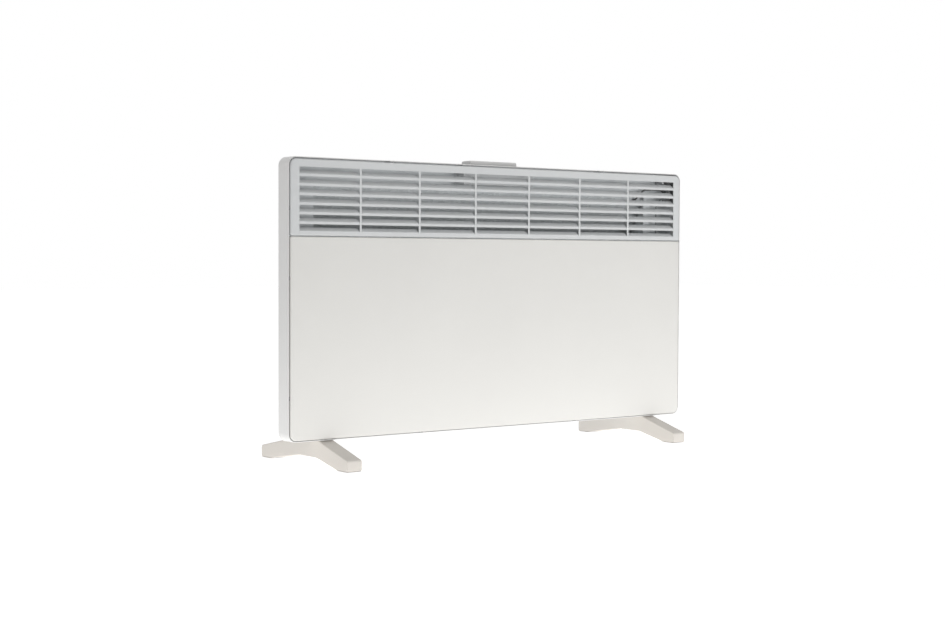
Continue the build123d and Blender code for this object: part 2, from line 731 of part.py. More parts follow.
def pan_beads(pan):
    """Add the stiffening beads pressed into the back wall."""
    length = PAN_WIDTH - 2 * BEAD_MARGIN
    for drop in BEAD_DROPS:
        centre = (0, TOP - drop)
        bump = flat_slot(centre, length, BEAD_WIDTH, (BACK_WALL - BEAD_DEPTH, BACK_WALL))
        groove_size = (length - 2 * PAN_STEEL, BEAD_WIDTH - 2 * PAN_STEEL)
        pan += bump
        pan -= flat_slot(centre, *groove_size, (PAN_BACK - BEAD_DEPTH, PAN_BACK + PAST))
    return pan


def hook_slot_centres():
    """Slots near the top that a wall bracket's hooks go into."""
    half = HOOK_SLOT_SPACING / 2
    return [(-half, TOP - HOOK_SLOT_DROP), (half, TOP - HOOK_SLOT_DROP)]


def fixing_hole_centres():
    """Round holes lower down for the wall bracket's screws."""
    half = FIXING_HOLE_SPACING / 2
    return [(-half, BOTTOM + FIXING_HOLE_RISE), (half, BOTTOM + FIXING_HOLE_RISE)]


def pan_window():
    """Window in the pan's right wall, towards the control housing and below the louvres."""
    return block(
        (PAN_WALL - PAST, PAN_HALF + PAST),
        (FLANGE_BACK + WINDOW_INSET, PAN_BACK - PAN_BACK_CORNER - WINDOW_INSET / 2),
        (HOUSING_BOTTOM + WINDOW_RISE, HOUSING_TOP - WINDOW_DROP),
    )


def pan_holes():
    """Everything cut through the pan's sheet."""
    back = (BACK_WALL - PAST, PAN_BACK + PAST)
    cuts = [pan_window(), recess_cut(CUP_CLEARANCE), grommet_hole()]
    for centre in hook_slot_centres():
        cuts.append(flat_slot(centre, *HOOK_SLOT_SIZE, back))
    for x, z in fixing_hole_centres():
        cuts.append(rod(FIXING_HOLE_RADIUS, (x, back[0], z), (x, back[1], z)))
    for rise in VENT_RISES:
        for x in spread(PAN_WIDTH, VENT_PITCH, VENT_MARGIN):
            cuts.append(flat_slot((x, BOTTOM + rise), *VENT_SIZE, back))
    for depth in PAN_INLET_DEPTHS:
        for x in spread(PAN_WIDTH, INLET_PITCH, INLET_MARGIN):
            centre = (x, CASING_DEPTH + depth)
            cuts.append(floor_slot(centre, *INLET_SIZE, (PAN_BOTTOM - PAST, PAN_FLOOR + PAST)))
    for seat in pan_screw_seats() + back_wall_seats():
        cuts.append(shank_hole(SHEET_SCREW, seat, (0, -1, 0)))
    for seat in handle_screw_seats():
        cuts.append(shank_hole(HANDLE_SCREW, seat, (0, 0, 1)))
    for y, z in housing_boss_centres():
        cuts.append(shank_hole(SMALL_SCREW, (PAN_WALL, y, z), (1, 0, 0)))
    return cuts + foot_screw_holes()


def rear_pan():
    return pan_beads(pan_box()) - pan_holes()


def pan_screws():
    return [screw(SHEET_SCREW, seat, (0, -1, 0)) for seat in pan_screw_seats()]


def back_wall_screws():
    return [screw(SHEET_SCREW, seat, (0, -1, 0)) for seat in back_wall_seats()]


# Handle


def carry_handle():
    half = HANDLE_WIDTH / 2
    base = PAN_TOP + CUP_WALL
    top = TOP + HANDLE_RISE
    y = (HANDLE_FRONT, HANDLE_FRONT + HANDLE_THICKNESS)
    bar = block((-half, half), y, (base, top))
    bar = fillet(bar.faces().sort_by(Axis.Z)[-1].edges(), HANDLE_ROUNDING)
    reach = half - HANDLE_LEG
    gap = block((-reach, reach), (y[0] - PAST, y[1] + PAST), (base - PAST, top - HANDLE_BAR))
    upper = edges_along(gap, Axis.Y, lambda point: point.Z > base)
    bar -= fillet(upper, HANDLE_INNER_ROUNDING)
    for x, depth, height in handle_screw_seats():
        pilot = HANDLE_SCREW[0] + SNUG_CLEARANCE
        bar -= rod(pilot, (x, depth, base - PAST), (x, depth, height + HANDLE_SCREW[1] + PAST))
    return bar


def handle_cup():
    """Liner of the recess: floor, front wall, side walls and a rim under the casing's top."""
    half = RECESS_WIDTH / 2 - CUP_CLEARANCE
    front = RECESS_FRONT + CUP_CLEARANCE
    inner = half - CUP_WALL
    high = INNER_TOP
    cup = block((-half, half), (front, CASING_DEPTH), (PAN_TOP, high))
    back = CASING_DEPTH + CUP_REACH
    cup += block((-half, half), (front, back), (PAN_TOP, PAN_TOP + CUP_WALL + CUP_BACK_LIP))
    rim = half + CUP_RIM
    rim_back = CASING_DEPTH - CASING_BACK_CORNER
    cup += block((-rim, rim), (front - CUP_RIM_FRONT, rim_back), (high - CUP_WALL, high))
    cup -= block((-inner, inner), (front + CUP_WALL, back + PAST), (PAN_TOP + CUP_WALL, high + PAST))
    for seat in handle_screw_seats():
        cup -= shank_hole(HANDLE_SCREW, seat, (0, 0, 1))
    return cup


def handle_screws():
    return [screw(HANDLE_SCREW, seat, (0, 0, 1)) for seat in handle_screw_seats()]


# Air path


def deflector_wire_cuts():
    """Hole that the neutral wire goes back through, and the notch that it leaves by."""
    z = TOP - NEUTRAL_HOLE_DROP
    hole = rod(DEFLECTOR_WIRE_HOLE, (NEUTRAL_X, CASING_DEPTH, z), (NEUTRAL_X, HOUSING_MIDDLE, z))
    width, rise = DEFLECTOR_NOTCH
    low = TOP - DEFLECTOR_LOW_DROP
    notch_z = (low - DEFLECTOR_FLANGE - PAST, low + rise)
    return [hole, block(span(NEUTRAL_X, width), (HOUSING_MIDDLE, PAN_BACK), notch_z)]


def deflector_corners(right, low):
    """Cuts that keep the deflector's right end clear of the pan's rounded corners."""
    x = right - PAN_CORNER
    z = PAN_CEILING - PAN_CORNER
    depth = (CASING_DEPTH, HOUSING_MIDDLE)
    top = block((x, right + PAST), depth, (z, PAN_CEILING + PAST))
    top -= rod(PAN_CORNER, (x, depth[0] - PAST, z), (x, depth[1] + PAST, z))
    width, rise = DEFLECTOR_CORNER_CUT
    back = (PAN_BACK - width, PAN_BACK)
    low_z = (low - DEFLECTOR_FLANGE - PAST, low + rise)
    return [top, block((PAN_HALF - width, right + PAST), back, low_z)]


def air_deflector():
    """Bent sheet that turns the rising air forwards to the louvres."""
    low = TOP - DEFLECTOR_LOW_DROP
    steel = DEFLECTOR_STEEL
    front = CASING_DEPTH + DEFLECTOR_STANDOFF
    bend = PAN_CEILING - DEFLECTOR_LIP
    outline = [
        (BACK_WALL, low - DEFLECTOR_FLANGE),
        (BACK_WALL, low),
        (front + steel, bend),
        (front + steel, PAN_CEILING),
        (front, PAN_CEILING),
        (front, bend - steel),
        (BACK_WALL - steel, low - steel),
        (BACK_WALL - steel, low - DEFLECTOR_FLANGE),
    ]
    left = PAN_HALF - DEFLECTOR_LEFT_MARGIN
    right = PAN_HALF - DEFLECTOR_RIGHT_MARGIN
    sheet = prism(outline, -left, right)
    sheet -= deflector_corners(right, low)
    for seat in back_wall_seats():
        sheet -= shank_hole(SHEET_SCREW, seat, (0, -1, 0))
    return sheet - deflector_wire_cuts()


def heat_shield():
    """Hat-shaped sheet that stands off the back wall behind the element."""
    half = SHIELD_HALF_WIDTH
    steel = SHIELD_STEEL
    z = (SHIELD_LOW, SHIELD_HIGH)
    sheet = block((-half, half), (SHIELD_FACE, SHIELD_FACE + steel), z)
    for side in (-1, 1):
        wall = sorted((side * half, side * (half - steel)))
        foot = sorted((side * half, side * (half + SHIELD_FLANGE)))
        sheet += block(wall, (SHIELD_FACE, BACK_WALL), z)
        sheet += block(foot, (BACK_WALL - steel, BACK_WALL), z)
    for seat in back_wall_seats():
        sheet -= shank_hole(SHEET_SCREW, seat, (0, -1, 0))
    for seat in cutout_screw_seats():
        sheet -= shank_hole(SMALL_SCREW, seat, (0, 1, 0))
    return sheet


# Heating element


def sheath_centres():
    """(y, z) of the two heating tubes."""
    half = SHEATH_SPACING / 2
    return [(ELEMENT_DEPTH, ELEMENT_HEIGHT - half), (ELEMENT_DEPTH, ELEMENT_HEIGHT + half)]


def stadium(width, x_low, x_high):
    """Bar along x with a stadium section upright around both tubes."""
    outline = Rot(0, 0, 90) * SlotOverall(width + SHEATH_SPACING, width)
    placed = Plane.YZ.offset(x_low) * (Pos(ELEMENT_DEPTH, ELEMENT_HEIGHT) * outline)
    return extrude(placed, x_high - x_low, dir=(1, 0, 0))


def element_arm(angle):
    """Radial fin of the profile with its cross ribs, as a section about the centre."""
    length = ELEMENT_ARM
    arm = Pos(length / 2, 0) * Rectangle(length, ELEMENT_ARM_THICKNESS)
    for place in ELEMENT_RIB_PLACES:
        rib_length = ELEMENT_ARM_THICKNESS + 2 * ELEMENT_RIB[0] * place / length
        arm += Pos(place, 0) * Rectangle(ELEMENT_RIB[1], rib_length)
    return Rot(0, 0, angle) * arm


def element_fins():
    """Extruded aluminium profile: a boss with two bores and four ribbed fins."""
    half = ELEMENT_LENGTH / 2
    boss_width = 2 * (SHEATH_RADIUS + ELEMENT_BOSS_WALL)
    section = Rot(0, 0, 90) * SlotOverall(boss_width + SHEATH_SPACING, boss_width)
    for angle in (ELEMENT_ARM_ANGLE, 180 - ELEMENT_ARM_ANGLE):
        section += element_arm(angle)
        section += element_arm(angle + 180)
    placed = Plane.YZ.offset(-half) * (Pos(ELEMENT_DEPTH, ELEMENT_HEIGHT) * section)
    profile = extrude(placed, ELEMENT_LENGTH, dir=(1, 0, 0))
    for y, z in sheath_centres():
        bore = SHEATH_RADIUS + SHEATH_CLEARANCE
        profile -= rod(bore, (-half - PAST, y, z), (half + PAST, y, z))
    return profile


def element_sheaths():
    """Heating tubes, with the hole in each end that its terminal pin sits in."""
    tubes = []
    for y, z in sheath_centres():
        tube = rod(SHEATH_RADIUS, (-SHEATH_END, y, z), (SHEATH_END, y, z))
        for side in (-1, 1):
            depth = side * (SHEATH_END - PIN_EMBED)
            tube -= rod(PIN_RADIUS + SNUG_CLEARANCE, (depth, y, z), (side * (SHEATH_END + PAST), y, z))
        tubes.append(tube)
    return tubes


def element_ends():
    """(side, y, z) of the four tube ends."""
    return [(side, y, z) for side in (-1, 1) for y, z in sheath_centres()]


def element_insulators():
    radius, length = INSULATOR
    beads = []
    for side, y, z in element_ends():
        start = (side * SHEATH_END, y, z)
        end = (side * (SHEATH_END + length), y, z)
        bead = rod(radius, start, end)
        outer_face = bead.faces().sort_by(Axis.X)[-1 if side > 0 else 0]
        bead = chamfer(outer_face.edges(), INSULATOR_CHAMFER)
        beads.append(bead - rod(PIN_RADIUS + SNUG_CLEARANCE, start, end))
    return beads


def terminal_root():
    """Distance from the middle to where a tube's blade starts."""
    return SHEATH_END + INSULATOR[1] + PIN_REACH


def element_terminals():
    """Terminal pins with a flat blade each."""
    pins = []
    for side, y, z in element_ends():
        root = terminal_root()
        pin = rod(PIN_RADIUS, (side * (SHEATH_END - PIN_EMBED), y, z), (side * (root + PAST), y, z))
        pin += blade((side * (root + BLADE[0]), y, z), (side * root, y, z), 1)
        pins.append(pin)
    return pins


def neutral_link():
    """Flat bar that joins the two left terminals at their tips."""
    tip = terminal_root() + BLADE[0]
    half = SHEATH_SPACING / 2 + BLADE[2]
    return block(
        (-tip - LINK_STEEL, -tip),
        (ELEMENT_DEPTH - BLADE[1] / 2, ELEMENT_DEPTH + BLADE[1] / 2),
        (ELEMENT_HEIGHT - half, ELEMENT_HEIGHT + half),
    )


def element_bracket(side):
    """Upright plate with a foot on the back wall."""
    z = (ELEMENT_HEIGHT - BRACKET_HEIGHT / 2, ELEMENT_HEIGHT + BRACKET_HEIGHT / 2)
    half = BRACKET_STEEL / 2
    front = ELEMENT_DEPTH - BRACKET_REACH
    web = block((BRACKET_X - half, BRACKET_X + half), (front, BACK_WALL), z)
    foot_x = (BRACKET_X - half, BRACKET_X + BRACKET_FOOT)
    web += block(foot_x, (BACK_WALL - BRACKET_STEEL, BACK_WALL), z)
    web -= stadium(bush_width(), BRACKET_X - PAST, BRACKET_X + PAST)
    if side < 0:
        web = mirror(web, about=Plane.YZ)
    for seat in back_wall_seats():
        web -= shank_hole(SHEET_SCREW, seat, (0, -1, 0))
    return web


def bush_width():
    """Width of the soft bush where it fills the bracket's hole."""
    return 2 * (SHEATH_RADIUS + BUSH_WALL)


def element_bushes():
    """Soft bushes, grooved around the brackets, that let the tubes creep as they warm."""
    half = BRACKET_STEEL / 2
    bush = stadium(bush_width(), BRACKET_X - half, BRACKET_X + half)
    lip = bush_width() + 2 * BUSH_LIP
    bush += stadium(lip, BRACKET_X - half - BUSH_LIP_LENGTH, BRACKET_X - half)
    bush += stadium(lip, BRACKET_X + half, BRACKET_X + half + BUSH_LIP_LENGTH)
    reach = half + BUSH_LIP_LENGTH + PAST
    for y, z in sheath_centres():
        bore = SHEATH_RADIUS + SHEATH_CLEARANCE
        bush -= rod(bore, (BRACKET_X - reach, y, z), (BRACKET_X + reach, y, z))
    return [bush, mirror(bush, about=Plane.YZ)]


# Thermal cut-out


def cutout_screw_seats():
    """Screws that hold the clamp to the heat shield, driven from the front."""
    y = SHIELD_FACE - CUTOUT_CLAMP[2]
    z = BOTTOM + CUTOUT_RISE
    half = CUTOUT_SCREW_SPREAD / 2
    return [(CUTOUT_OFFSET - half, y, z), (CUTOUT_OFFSET + half, y, z)]


def thermal_cutout():
    z = BOTTOM + CUTOUT_RISE
    x = CUTOUT_OFFSET
    front = SHIELD_FACE - CUTOUT_HEIGHT
    body = rod(CUTOUT_RADIUS, (x, SHIELD_FACE, z), (x, front, z))
    for side in (-1, 1):
        place = x + side * CUTOUT_BLADE_SPREAD / 2
        body += blade((place, front - BLADE[0], z), (place, front, z), 2)
    return body


def cutout_clamp():
    """Plate with a hole that goes round the cut-out and an ear at each side."""
    z = BOTTOM + CUTOUT_RISE
    length, width, steel = CUTOUT_CLAMP
    y = (SHIELD_FACE - steel, SHIELD_FACE)
    clamp = flat_slot((CUTOUT_OFFSET, z), length, width, y)
    ring = CUTOUT_RADIUS + steel + SNUG_CLEARANCE
    clamp += rod(ring, (CUTOUT_OFFSET, y[0] - steel, z), (CUTOUT_OFFSET, y[1], z))
    bore = CUTOUT_RADIUS + SNUG_CLEARANCE
    clamp -= rod(bore, (CUTOUT_OFFSET, y[0] - 2 * steel, z), (CUTOUT_OFFSET, y[1] + PAST, z))
    for seat in cutout_screw_seats():
        clamp -= shank_hole(SMALL_SCREW, seat, (0, 1, 0))
    return clamp


def cutout_screws():
    shank, _, head, height = SMALL_SCREW
    length = CUTOUT_CLAMP[2] + SHIELD_STANDOFF / 2
    return [screw((shank, length, head, height), seat, (0, 1, 0)) for seat in cutout_screw_seats()]


# Controls


def control_housing():
    """Moulded box on the pan's right side, open towards the pan."""
    x = (PAN_HALF, HOUSING_FACE)
    y = (FLANGE_BACK, PAN_BACK)
    z = (HOUSING_BOTTOM, HOUSING_TOP)
    wall = HOUSING_WALL
    box = block(x, y, z)
    box = fillet(box.faces().sort_by(Axis.X)[-1].edges(), HOUSING_ROUNDING)
    skirt_x = (PAN_HALF + PAN_FLANGE + HOUSING_SKIRT_GAP, HOUSING_FACE - HOUSING_ROUNDING)
    box += block(skirt_x, (CASING_DEPTH, FLANGE_BACK + PAST), z)
    inner_y = (y[0] + wall, y[1] - wall)
    box -= block((PAN_HALF - PAST, HOUSING_INNER), inner_y, (z[0] + wall, z[1] - wall))
    for boss_y, boss_z in housing_boss_centres():
        boss = rod(HOUSING_BOSS_RADIUS, (PAN_HALF, boss_y, boss_z), (HOUSING_INNER, boss_y, boss_z))
        pilot = SMALL_SCREW[0] + SNUG_CLEARANCE
        end = PAN_WALL + SMALL_SCREW[1] + PAST
        box += boss
        box -= rod(pilot, (PAN_HALF - PAST, boss_y, boss_z), (end, boss_y, boss_z))
    return box - housing_face_cuts() - [grommet_hole(), gland_hole()]


def housing_face_cuts():
    """Holes in the housing's face: spindle, its screws, lens and switches."""
    cuts = []
    face = (HOUSING_INNER - PAST, HOUSING_FACE + PAST)
    y, z = KNOB_CENTRE
    cuts.append(rod(SPINDLE_RADIUS + SPINDLE_HOLE_ROOM, (face[0], y, z), (face[1], y, z)))
    for seat in thermostat_screw_seats():
        cuts.append(shank_hole(SMALL_SCREW, seat, (-1, 0, 0)))
    y, z = LENS_CENTRE
    cuts.append(rod(LENS_RADIUS + SNUG_CLEARANCE, (face[0], y, z), (face[1], y, z)))
    height, width, _ = SWITCH_BODY
    for y in switch_depths():
        cuts.append(block(face, fit_span(y, width), fit_span(SWITCH_HEIGHT, height)))
    return cuts


def fit_span(centre, width):
    """Span of a hole that a body of this width fits, with a clearance at each side."""
    half = width / 2 + SWITCH_FIT
    return (centre - half, centre + half)


def span(centre, width):
    return (centre - width / 2, centre + width / 2)


def switch_depths():
    """y of each switch's middle, front then rear."""
    return (HOUSING_MIDDLE - SWITCH_SPREAD / 2, HOUSING_MIDDLE + SWITCH_SPREAD / 2)


def control_housing_screws():
    seats = [(PAN_WALL, y, z) for y, z in housing_boss_centres()]
    return [screw(SMALL_SCREW, seat, (1, 0, 0)) for seat in seats]


def thermostat_screw_seats():
    """Screws under the knob that hold the thermostat behind the face."""
    y, z = KNOB_CENTRE
    half = THERMOSTAT_SCREW_SPREAD / 2
    return [(PLATE_OUTER, y - half, z), (PLATE_OUTER, y + half, z)]


def thermostat_screw():
    """Low-headed size of those screws, which clear the knob's skirt."""
    shank, length, head, _ = SMALL_SCREW
    return (shank, length, head, KNOB_GAP + KNOB_SKIRT - KNOB_HOLLOW)


def dial_plate():
    """Thin plate behind the knob that carries the dial."""
    y, z = KNOB_CENTRE
    height = DIAL_PLATE_HEIGHT
    plate = block((HOUSING_FACE, PLATE_OUTER), span(y, DIAL_PLATE_WIDTH), span(z, height))
    plate = fillet(plate.edges().filter_by(Axis.X), HOUSING_ROUNDING)
    hole = SPINDLE_RADIUS + SPINDLE_HOLE_ROOM
    plate -= rod(hole, (HOUSING_FACE - PAST, y, z), (PLATE_OUTER + PAST, y, z))
    for seat in thermostat_screw_seats():
        plate -= shank_hole(SMALL_SCREW, seat, (-1, 0, 0))
    return plate


def thermostat_body():
    """Capillary thermostat: a box behind a fixing plate, with two blades."""
    depth, width, height = THERMOSTAT_SIZE
    y, z = KNOB_CENTRE
    plate_back = HOUSING_INNER - THERMOSTAT_PLATE
    body = block((HOUSING_INNER - depth, plate_back), span(y, width), span(z, height))
    body += block((plate_back, HOUSING_INNER), span(y, width), span(z, THERMOSTAT_PLATE_HEIGHT))
    start = HOUSING_INNER - SPINDLE_EMBED
    bore = SPINDLE_RADIUS + SNUG_CLEARANCE
    body -= rod(bore, (start, y, z), (HOUSING_FACE, y, z))
    for seat in thermostat_screw_seats():
        body -= shank_hole(thermostat_screw(), seat, (-1, 0, 0))
    for root in thermostat_blade_roots():
        body += blade((root[0], root[1], root[2] - BLADE[0]), root, 1)
    return body


def thermostat_blade_roots():
    """Where the thermostat's blades leave its underside."""
    depth, width, height = THERMOSTAT_SIZE
    y, z = KNOB_CENTRE
    x = HOUSING_INNER - depth / 2
    low = z - height / 2
    return [(x, y - width / 4, low), (x, y + width / 4, low)]


def thermostat_screws():
    return [screw(thermostat_screw(), seat, (-1, 0, 0)) for seat in thermostat_screw_seats()]


def knob_place():
    """Height of the knob's underside and top above the heater's middle, along x."""
    low = PLATE_OUTER + KNOB_GAP
    return (low, low + KNOB_HEIGHT)


def thermostat_spindle():
    """Spindle with a flat that the knob grips."""
    y, z = KNOB_CENTRE
    low, high = knob_place()
    end = high - KNOB_SKIRT
    start = HOUSING_INNER - SPINDLE_EMBED + SNUG_CLEARANCE
    shaft = rod(SPINDLE_RADIUS, (start, y, z), (end, y, z))
    return shaft - spindle_flat(low, end + PAST)


def spindle_flat(x_low, x_high, clearance=0.0):
    """Space cut off the spindle's rear side to make its flat."""
    y, z = KNOB_CENTRE
    face = y + SPINDLE_FLAT + clearance
    return block((x_low, x_high), (face, face + SPINDLE_RADIUS), span(z, 3 * SPINDLE_RADIUS))


def thermostat_knob():
    """Round knob with a skirt, a raised grip across it and a notch as its pointer."""
    y, z = KNOB_CENTRE
    low, high = knob_place()
    knob = rod(KNOB_RADIUS, (low, y, z), (low + KNOB_SKIRT, y, z))
    knob = fillet(knob.faces().sort_by(Axis.X)[-1].edges(), KNOB_SKIRT_ROUNDING)
    drum = rod(KNOB_RADIUS - KNOB_GRIP_INSET, (low, y, z), (high, y, z))
    sides = block((low, high), span(y, KNOB_GRIP), span(z, 2 * KNOB_RADIUS))
    grip = drum & sides
    grip = fillet(grip.faces().sort_by(Axis.X)[-1].edges(), KNOB_GRIP_ROUNDING)
    knob += grip
    length, width, depth = POINTER_SIZE
    pointer_z = (z + KNOB_RADIUS - length, z + KNOB_RADIUS + PAST)
    knob -= block((high - depth, high + PAST), span(y, width), pointer_z)
    heads = THERMOSTAT_SCREW_SPREAD / 2 + SMALL_SCREW[2] + SPINDLE_HOLE_ROOM
    knob -= rod(heads, (low - PAST, y, z), (low + KNOB_HOLLOW, y, z))
    end = high - KNOB_SKIRT + SNUG_CLEARANCE
    bore = rod(SPINDLE_RADIUS + SNUG_CLEARANCE, (low - PAST, y, z), (end, y, z))
    knob -= bore - spindle_flat(low - 2 * PAST, end + PAST, SNUG_CLEARANCE)
    return knob


def indicator_lens():
    y, z = LENS_CENTRE
    back = HOUSING_INNER - LENS_EMBED
    rim = LENS_RADIUS + LENS_FLANGE_WIDTH
    lens = rod(LENS_RADIUS, (back, y, z), (HOUSING_FACE + LENS_PROUD, y, z))
    lens += rod(rim, (HOUSING_FACE, y, z), (HOUSING_FACE + LENS_FLANGE, y, z))
    return fillet(lens.faces().sort_by(Axis.X)[-1].edges(), LENS_ROUNDING)


def indicator_lamp():
    y, z = LENS_CENTRE
    front = HOUSING_INNER - LENS_EMBED
    return rod(LAMP_RADIUS, (front - LAMP_LENGTH, y, z), (front, y, z))


def switch_frame(y):
    """Snap-in switch body with its bezel, blades and the slot that its rocker tilts in."""
    length, width, proud = SWITCH_BEZEL
    body_height, body_width, body_depth = SWITCH_BODY
    slot_height, slot_width = SWITCH_SLOT
    z = SWITCH_HEIGHT
    top = HOUSING_FACE + proud
    bezel = block((HOUSING_FACE, top), span(y, width), span(z, length))
    bezel = fillet(bezel.faces().sort_by(Axis.X)[-1].edges(), SWITCH_BEZEL_ROUNDING)
    back = HOUSING_FACE - body_depth
    frame = bezel + block((back, HOUSING_FACE), span(y, body_width), span(z, body_height))
    cavity = (back + SWITCH_BACK_WALL, top + PAST)
    frame -= block(cavity, span(y, slot_width), span(z, slot_height))
    pin = ROCKER_PIN_RADIUS + SNUG_CLEARANCE
    reach = ROCKER_WIDTH / 2 + ROCKER_PIN_REACH + SNUG_CLEARANCE
    frame -= rod(pin, (ROCKER_PIVOT, y - reach, z), (ROCKER_PIVOT, y + reach, z))
    for root in switch_blade_roots(y):
        frame += switch_blade(root)
    return frame


def switch_blade_roots(y):
    """Where a switch's blades leave its back: common, then switched."""
    half = SWITCH_BLADE_SPREAD / 2
    x = HOUSING_FACE - SWITCH_BODY[2]
    return [(x, y, SWITCH_HEIGHT + half), (x, y, SWITCH_HEIGHT - half)]


def switch_blade(root):
    length, width, thickness = SWITCH_BLADE
    return block((root[0] - length, root[0]), span(root[1], width), span(root[2], thickness))


def rocker(y):
    """Seesaw button on two pins, drawn level and then tilted with its lower end pressed in."""
    z = SWITCH_HEIGHT
    x = ROCKER_PIVOT
    half = ROCKER_WIDTH / 2
    disc = rod(ROCKER_RADIUS, (x, y - half, z), (x, y + half, z))
    wide = 2 * ROCKER_RADIUS
    disc &= block((x - ROCKER_KEEL, x + ROCKER_RADIUS), span(y, wide), span(z, wide))
    slope = tan(radians(ROCKER_TILT))
    dip = ROCKER_CROWN - ROCKER_RADIUS * slope
    outline = [
        (x + dip, z),
        (x + ROCKER_CROWN, z + ROCKER_RADIUS),
        (x + 2 * ROCKER_RADIUS, z + ROCKER_RADIUS),
        (x + 2 * ROCKER_RADIUS, z - ROCKER_RADIUS),
        (x + ROCKER_CROWN, z - ROCKER_RADIUS),
    ]
    hollow = make_face(Polyline(*[(a, y + half + PAST, b) for a, b in outline], close=True))
    disc -= extrude(hollow, ROCKER_WIDTH + 2, dir=(0, -1, 0))
    reach = half + ROCKER_PIN_REACH
    disc += rod(ROCKER_PIN_RADIUS, (x, y - reach, z), (x, y + reach, z))
    pivot = Pos(x, y, z)
    return pivot * Rot(0, ROCKER_TILT, 0) * Pos(-x, -y, -z) * disc


# Supply entry and terminals


def gland_axis():
    """(x, y) of the cord gland's axis."""
    return ((PAN_HALF + HOUSING_INNER) / 2, HOUSING_MIDDLE)


def gland_hole():
    x, y = gland_axis()
    radius = GLAND_RADIUS + HOLE_CLEARANCE
    return rod(radius, (x, y, HOUSING_BOTTOM - PAST), (x, y, HOUSING_BOTTOM + HOUSING_WALL + PAST))


def cord_gland():
    """Gland under the housing: thread, hexagon flange and tapered dome, with a bore."""
    x, y = gland_axis()
    under = HOUSING_BOTTOM
    body = rod(GLAND_RADIUS, (x, y, under - PAST), (x, y, under + GLAND_THREAD))
    hexagon = Plane.XY.offset(under - GLAND_FLANGE) * (Pos(x, y) * RegularPolygon(GLAND_HEX, 6))
    body += extrude(hexagon, GLAND_FLANGE, dir=(0, 0, 1))
    dome_top = under - GLAND_FLANGE
    base = (Align.CENTER, Align.CENTER, Align.MAX)
    dome = Cone(*GLAND_DOME_RADII, GLAND_DOME, align=base)
    body += Pos(x, y, dome_top) * dome
    low = dome_top - GLAND_DOME
    return body - rod(GLAND_BORE, (x, y, low - PAST), (x, y, under + GLAND_THREAD + PAST))


def gland_nut():
    """Lock nut on the gland's thread inside the housing."""
    x, y = gland_axis()
    radius, height = GLAND_NUT
    seat = HOUSING_BOTTOM + HOUSING_WALL
    hexagon = Plane.XY.offset(seat) * (Pos(x, y) * RegularPolygon(radius, 6))
    nut = extrude(hexagon, height, dir=(0, 0, 1))
    bore = GLAND_RADIUS + SNUG_CLEARANCE
    return nut - rod(bore, (x, y, seat - PAST), (x, y, seat + height + PAST))


def wire_grommet():
    """Rubber grommet in the hole between the casing and the control housing."""
    x, z = GROMMET_CENTRE
    hole = GROMMET_HOLE - SNUG_CLEARANCE
    front = FLANGE_FACE
    back = FLANGE_BACK + HOUSING_WALL
    body = rod(hole, (x, front, z), (x, back, z))
    body += rod(GROMMET_HOLE + GROMMET_LIP, (x, front - GROMMET_LIP, z), (x, front, z))
    body += rod(GROMMET_HOLE + GROMMET_LIP, (x, back, z), (x, back + GROMMET_LIP, z))
    reach = GROMMET_LIP + PAST
    return body - rod(GROMMET_BORE, (x, front - reach, z), (x, back + reach, z))


def pole_heights():
    """z of each pole of the terminal block, from the top down: earth, neutral, live."""
    return [BLOCK_HIGH - (i + 0.5) * BLOCK_PITCH for i in range(BLOCK_POLES)]


def terminal_block():
    y = (BLOCK_FACE, FLANGE_FACE)
    body = block((BLOCK_LEFT, BLOCK_RIGHT), y, (BLOCK_LOW, BLOCK_HIGH))
    middle = (BLOCK_LEFT + BLOCK_RIGHT) / 2
    for z in pole_heights():
        hole = BLOCK_SCREW_RADIUS + SNUG_CLEARANCE
        body -= rod(hole, (middle, BLOCK_FACE - PAST, z), (middle, BLOCK_FACE + BLOCK_SCREW_LENGTH, z))
    groove, depth = BLOCK_GROOVE
    across = (BLOCK_LEFT - PAST, BLOCK_RIGHT + PAST)
    for i in range(1, BLOCK_POLES):
        z = span(BLOCK_LOW + i * BLOCK_PITCH, groove)
        body -= block(across, (BLOCK_FACE - PAST, BLOCK_FACE + depth), z)
    return body


def terminal_screws():
    """Clamp screws of the terminal block, sunk in its face."""
    screws = []
    middle = (BLOCK_LEFT + BLOCK_RIGHT) / 2
    for z in pole_heights():
        end = BLOCK_FACE + BLOCK_SCREW_LENGTH
        face = BLOCK_FACE + BLOCK_SCREW_SINK
        length, width, depth = BLOCK_SCREW_SLOT
        body = rod(BLOCK_SCREW_RADIUS, (middle, face, z), (middle, end, z))
        body -= block(span(middle, length), (face - PAST, face + depth), span(z, width))
        screws.append(body)
    return screws


def earth_stud():
    """Stud that stands forward from the casing's back flange."""
    x, z = STUD_CENTRE
    return rod(STUD_RADIUS, (x, FLANGE_FACE, z), (x, FLANGE_FACE - STUD_LENGTH, z))


def earth_nut():
    """Nut that clamps both ring terminals on the stud."""
    x, z = STUD_CENTRE
    radius, height = STUD_NUT
    front = FLANGE_FACE - 2 * STUD_RING[1] - height
    outline = Plane.XZ.offset(-front) * (Pos(x, z) * RegularPolygon(radius, 6, major_radius=False))
    nut = extrude(outline, height, dir=(0, 1, 0))
    bore = STUD_RADIUS + SNUG_CLEARANCE
    return nut - rod(bore, (x, front - PAST, z), (x, front + height + PAST, z))


# Wires and the thermostat's capillary


